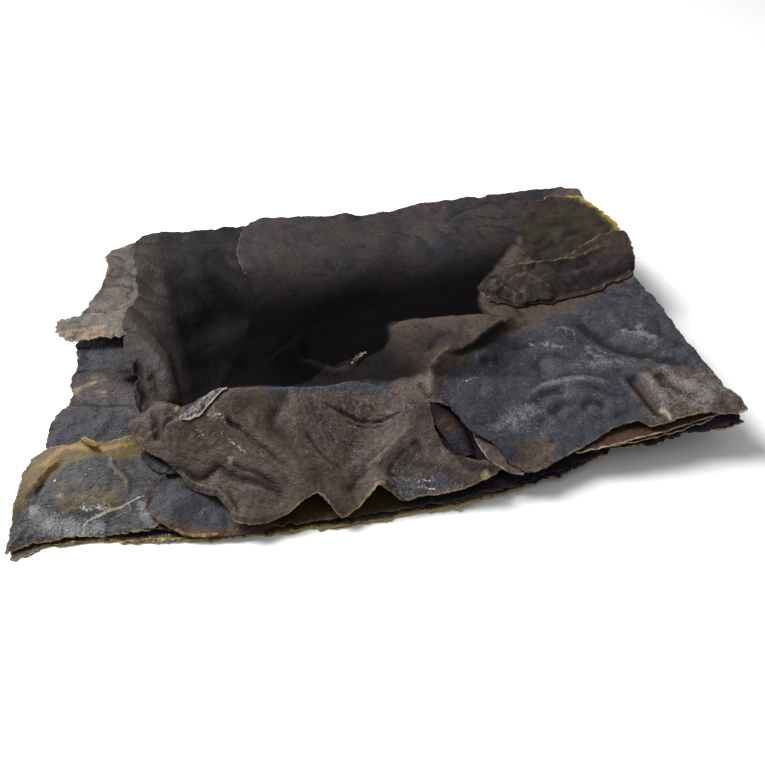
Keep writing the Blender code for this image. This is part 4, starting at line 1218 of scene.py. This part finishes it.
# ---------------------------------------------------------------- two flakes
# A silvery flake lies in the hollow behind the crest, and a golden olive one on the left corner.
# Both are arched a little across their width.

silver_line = mm((-5, -17.1), (-3.4, -15.4), (-0.6, -13.7))
strip("silver_flake", silver_line, 0.0014, 0.0004, silver_leaf, arch=0.0005, cells=(14, 6),
      seed=125.0, mark=lambda x, y, across: {"bloom": 0.6})

flake_leaf = dry_leaf("golden_olive_leaf", brown=(0.23, 0.14, 0.045), hem=(0.32, 0.21, 0.08),
                      bloom=0.1, gold=0.8)
olive_line = mm((-70, -35.2), (-72.2, -33), (-74.2, -30.5))
# painted shade on one side of the flake
strip("olive_flake", olive_line, 0.0024, 0.0009, flake_leaf, arch=0.0004, cells=(16, 8),
      seed=127.0, mark=lambda x, y, across: {"painted_shade": 0.5 * rise(across, -0.2, 0.6)})


# ---------------------------------------------------------------- inside the slit
# Under the slit in the big leaf the next layer shows: a slate sheet, a brown strip curled along
# the left side, and a pinkish taupe strip under the right lip.

inner_leaf = dry_leaf("inner_slate_leaf", brown=(0.03, 0.02, 0.018), slate=(0.026, 0.018, 0.023),
                      gold=0.0, bloom=0.03)
inner_line = mm((11, -33, 10), (18, -43, 7.8), (25.5, -52.5, 5.6))
# painted shade: the sheet in the slit is darkened all over
strip("slit_inner_sheet", inner_line, 0.017, 0.0, inner_leaf, bow=0.2, cover=big_leaf,
      seed=131.0, mark=lambda x, y, across: {"slate": 0.9, "painted_shade": 0.5})
curled_leaf = dry_leaf("curled_brown_leaf", brown=(0.034, 0.017, 0.011), slate=(0.02, 0.019, 0.025),
                       gold=0.0, bloom=0.01)
brown_line = mm((11.6, -34.8, 11.6), (14.6, -40.5, 10.6), (17, -46.2, 9), (18.6, -51.5, 7.2))
# painted shade: the strip is near black at its top under the lip, and darker along one side
strip("slit_brown_strip", brown_line, 0.006, 0.0, curled_leaf, bow=0.5, arch=0.0016,
      cover=big_leaf, seed=141.0,
      mark=lambda x, y, across: {"slate": 0.8 * rise(-y, 0.043, 0.047),
                                 "wrinkled": 0.4,
                                 "dark": 0.62 * rise(y, -0.045, -0.0375),
                                 "painted_shade": 0.6 * rise(-across, -0.1, 0.8) + 0.4 * rise(y, -0.0445, -0.0385)})
rosy_leaf = dry_leaf("rosy_taupe_leaf", brown=(0.078, 0.056, 0.05), hem=(0.24, 0.2, 0.16), gold=0.9)
rosy_line = mm((22.6, -43.2, 9.2), (24.8, -48, 8.4), (26.6, -51.9, 7.7), (28.6, -54.9, 7), (31.3, -57, 6.2))
strip("slit_rosy_strip", rosy_line, 0.0076, 0.0, rosy_leaf, bow=0.62, arch=0.0005,
      cover=big_leaf, seed=151.0)


# ---------------------------------------------------------------- leaf under the lobe
# A scrap of slate leaf lies under the puffed lobe of the big leaf, and closes the gap behind the
# two blades.

lining_leaf = dry_leaf("lining_leaf", brown=(0.04, 0.03, 0.026), slate=(0.024, 0.023, 0.029),
                       gold=0.0, bloom=0.15)
lining_line = mm((-60, -36.6, 6.6), (-55, -38.6, 6.6), (-48, -41.5, 6))
# painted shade under the lobe
strip("lobe_lining", lining_line, 0.0082, 0.0, lining_leaf, arch=0.0004, cover=big_leaf,
      seed=181.0, tatter=0.9, mark=lambda x, y, across: {"slate": 0.8, "painted_shade": 0.35})


# ---------------------------------------------------------------- layers under the right corner
# Two thin reddish layers show between the big leaf and the dark leaf under its right front corner,
# each with a pale torn hem.

reddish_leaf = dry_leaf("reddish_leaf", brown=(0.06, 0.03, 0.022), slate=(0.03, 0.02, 0.026),
                        hem=(0.3, 0.23, 0.16), bloom=0.1, gold=1.0)
upper_line = mm((45, -52.5, 6.8), (53, -51.2, 8), (62, -49.8, 9.2), (68, -49.2, 9.6), (76, -48.6, 10.2),
                (87, -49, 11.4))
strip("upper_corner_layer", upper_line, 0.0082, 0.0, reddish_leaf, cells=(80, 10), bow=0.62,
      cover=big_leaf, seed=161.0, tatter=0.6)
lower_line = mm((52, -51.5, 6.8), (60, -50, 7.6), (68, -49, 8.2), (76, -48.4, 9), (86, -48.6, 10.2))
strip("lower_corner_layer", lower_line, 0.0088, 0.0, reddish_leaf, cells=(80, 10), bow=0.62,
      cover=big_leaf, seed=171.0, tatter=0.8)


# ---------------------------------------------------------------- salt and crumbs
# White sea salt that dried out of the leaves: grains and thin flakes stuck on the creases, in the
# tear of the corner blade and along the hems, with yellow-brown crumbs of leaf between them.

chance = np.random.default_rng(7)


def sprinkle(path, width, count):
    """Places scattered about a given line."""
    line, steps = along_line(path, 12)
    along = chance.uniform(0, steps[-1], count)
    middle = np.column_stack([np.interp(along, steps, values) for values in line.T])
    return middle + chance.normal(0, width, (count, 2))


def crumbs(name, lines, size, finish, flat, onto=pile):
    """Small grains, each a rough lump with its own shape, set down on the leaves about some lines.
    Each line has its width and its number of grains."""
    places = np.vstack([sprinkle(*line) for line in lines])
    bpy.ops.object.select_all(action="DESELECT")
    bpy.ops.mesh.primitive_ico_sphere_add(subdivisions=1, radius=1)
    grain = bpy.context.object
    lump = np.array([tuple(v.co) for v in grain.data.vertices])
    corners = np.array([tuple(face.vertices) for face in grain.data.polygons])
    points, faces = [], []
    for x, y in places:
        hits = [tree.ray_cast((x, y, HIGH), (0, 0, -1))[:2] for tree in onto]
        hits = [(where, normal) for where, normal in hits if where is not None]
        if not hits:
            continue
        where, normal = max(hits, key=lambda hit: hit[0].z)
        length = size * np.exp(chance.normal(0, 0.45))
        scale = length * np.array([1, chance.uniform(0.45, 1), flat * chance.uniform(0.5, 1)])
        turned = lump * (1 + chance.uniform(-0.3, 0.3, lump.shape)) * scale / 2
        spin = chance.uniform(0, 2 * np.pi)
        spun = [[np.cos(spin), np.sin(spin)], [-np.sin(spin), np.cos(spin)]]
        turned[:, :2] = turned[:, :2] @ np.array(spun)
        tilt = normal.to_track_quat("Z", "Y").to_matrix()
        turned = turned @ np.array(tilt).T + np.array(where) + np.array(normal) * scale[2] * 0.25
        faces.append(corners + len(lump) * len(points))
        points.append(turned)
    grain.data.clear_geometry()
    grain.data.from_pydata(np.vstack(points).tolist(), [], np.vstack(faces).tolist())
    grain.name = name
    grain.data.materials.append(finish)
    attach(grain, "root")


def grain_finish(name, colour, dark):
    f = Finish(name)
    f.feed("Base Color", f.mix(f.between(f.speckle(0.0006, 2), 0.35, 0.65), dark, colour))
    f.shader.inputs["Roughness"].default_value = 0.55
    return f.material


salt = grain_finish("sea_salt", (0.5, 0.47, 0.4), (0.3, 0.27, 0.21))
golden = grain_finish("golden_crumbs", (0.34, 0.23, 0.08), (0.12, 0.08, 0.03))

panel_middle = mm((-50, -35), (-20, -56))
squiggles = mm((4.5, -57.3), (9.3, -58.2))
knot_grains = mm((21.8, -28.8), (23.9, -28.1), (26.9, -26.9))
crumbs("salt_on_big_leaf", [
    (short_salt, 0.0003, 12),
    (wide_salt, 0.0007, 18),
    (long_salt, 0.0003, 14),
    (panel_middle, 0.006, 24),
    (squiggles, 0.0008, 8),
    (knot_grains, 0.0004, 10),
], 0.00018, salt, flat=0.35)
right_half = mm((30, -35), (60, -40))
far_right = mm((70, -18), (83, -30))
crumbs("salt_on_right_half", [
    (right_half, 0.007, 60),
    (far_right, 0.003, 30),
], 0.0001, salt, flat=0.35)
tear_grains = mm((-72.3, -53.8), (-64.5, -51), (-59, -49.5))
corner_grains = mm((-88, -48), (-83, -51), (-77, -52))
blade_middle = mm((-86, -42), (-64, -40))
crumbs("salt_on_corner_blade", [
    (tear_grains, 0.0006, 30),
    (corner_grains, 0.0013, 40),
    (blade_middle, 0.005, 40),
], 0.0002, salt, flat=0.4)
front_hem = mm((-56, -59), (-39, -60.8), (-17, -61.6), (0, -61.3), (20, -60.1))
right_hem = mm((20, -60.1), (41, -56.6), (58, -52.2))
corner_hem = mm((-85, -56.5), (-64, -56.5), (-50, -57.5))
crumbs("golden_hem_crumbs", [
    (front_hem, 0.0003, 260),
    (right_hem, 0.0004, 70),
    (corner_hem, 0.0003, 60),
], 0.00036, golden, flat=0.4, onto=pile[:1])


# ---------------------------------------------------------------- table, light and camera
# A plain pale table with soft daylight from behind on the left. The camera looks down on the
# bundle from the front.

bpy.ops.object.select_all(action="DESELECT")
bpy.ops.mesh.primitive_plane_add(size=6, location=(0, 0, 0))
table = bpy.context.object
table.name = "table"
paper = Finish("white_table")
paper.shader.inputs["Base Color"].default_value = (0.86, 0.86, 0.85, 1)
paper.shader.inputs["Roughness"].default_value = 0.6
table.data.materials.append(paper.material)

sky = bpy.data.worlds.new("sky")
sky.use_nodes = True
sky.node_tree.nodes["Background"].inputs["Color"].default_value = (0.97, 0.98, 1.0, 1)
sky.node_tree.nodes["Background"].inputs["Strength"].default_value = 0.42
bpy.context.scene.world = sky


def lamp(name, place, size, power):
    light = bpy.data.objects.new(name, bpy.data.lights.new(name, "AREA"))
    light.data.size = size
    light.data.energy = power
    light.location = place
    light.rotation_euler = (-Vector(place)).to_track_quat("-Z", "Y").to_euler()
    bpy.context.scene.collection.objects.link(light)


lamp("window", (-0.36, 0.27, 0.52), 0.32, 9.0)

TURN = np.radians(-10)  # how far round from the front the camera stands
DOWN = np.radians(42)  # how steeply it looks down
MIDDLE = Vector((0.004, -0.013, 0))  # what it looks at
AWAY = 0.226  # how far off it is
FILM = 36  # its width in millimetres
ZOOM = 800 / 765  # the focal length over that width
back = Vector((np.sin(TURN) * np.cos(DOWN), -np.cos(TURN) * np.cos(DOWN), np.sin(DOWN)))
camera = bpy.data.objects.new("camera", bpy.data.cameras.new("camera"))
camera.data.sensor_width = FILM
camera.data.lens = FILM * ZOOM
camera.data.clip_start = 0.01
camera.location = MIDDLE + AWAY * back
camera.rotation_euler = (-back).to_track_quat("-Z", "Y").to_euler()
bpy.context.scene.collection.objects.link(camera)
bpy.context.scene.camera = camera
bpy.context.scene.view_settings.view_transform = "Standard"
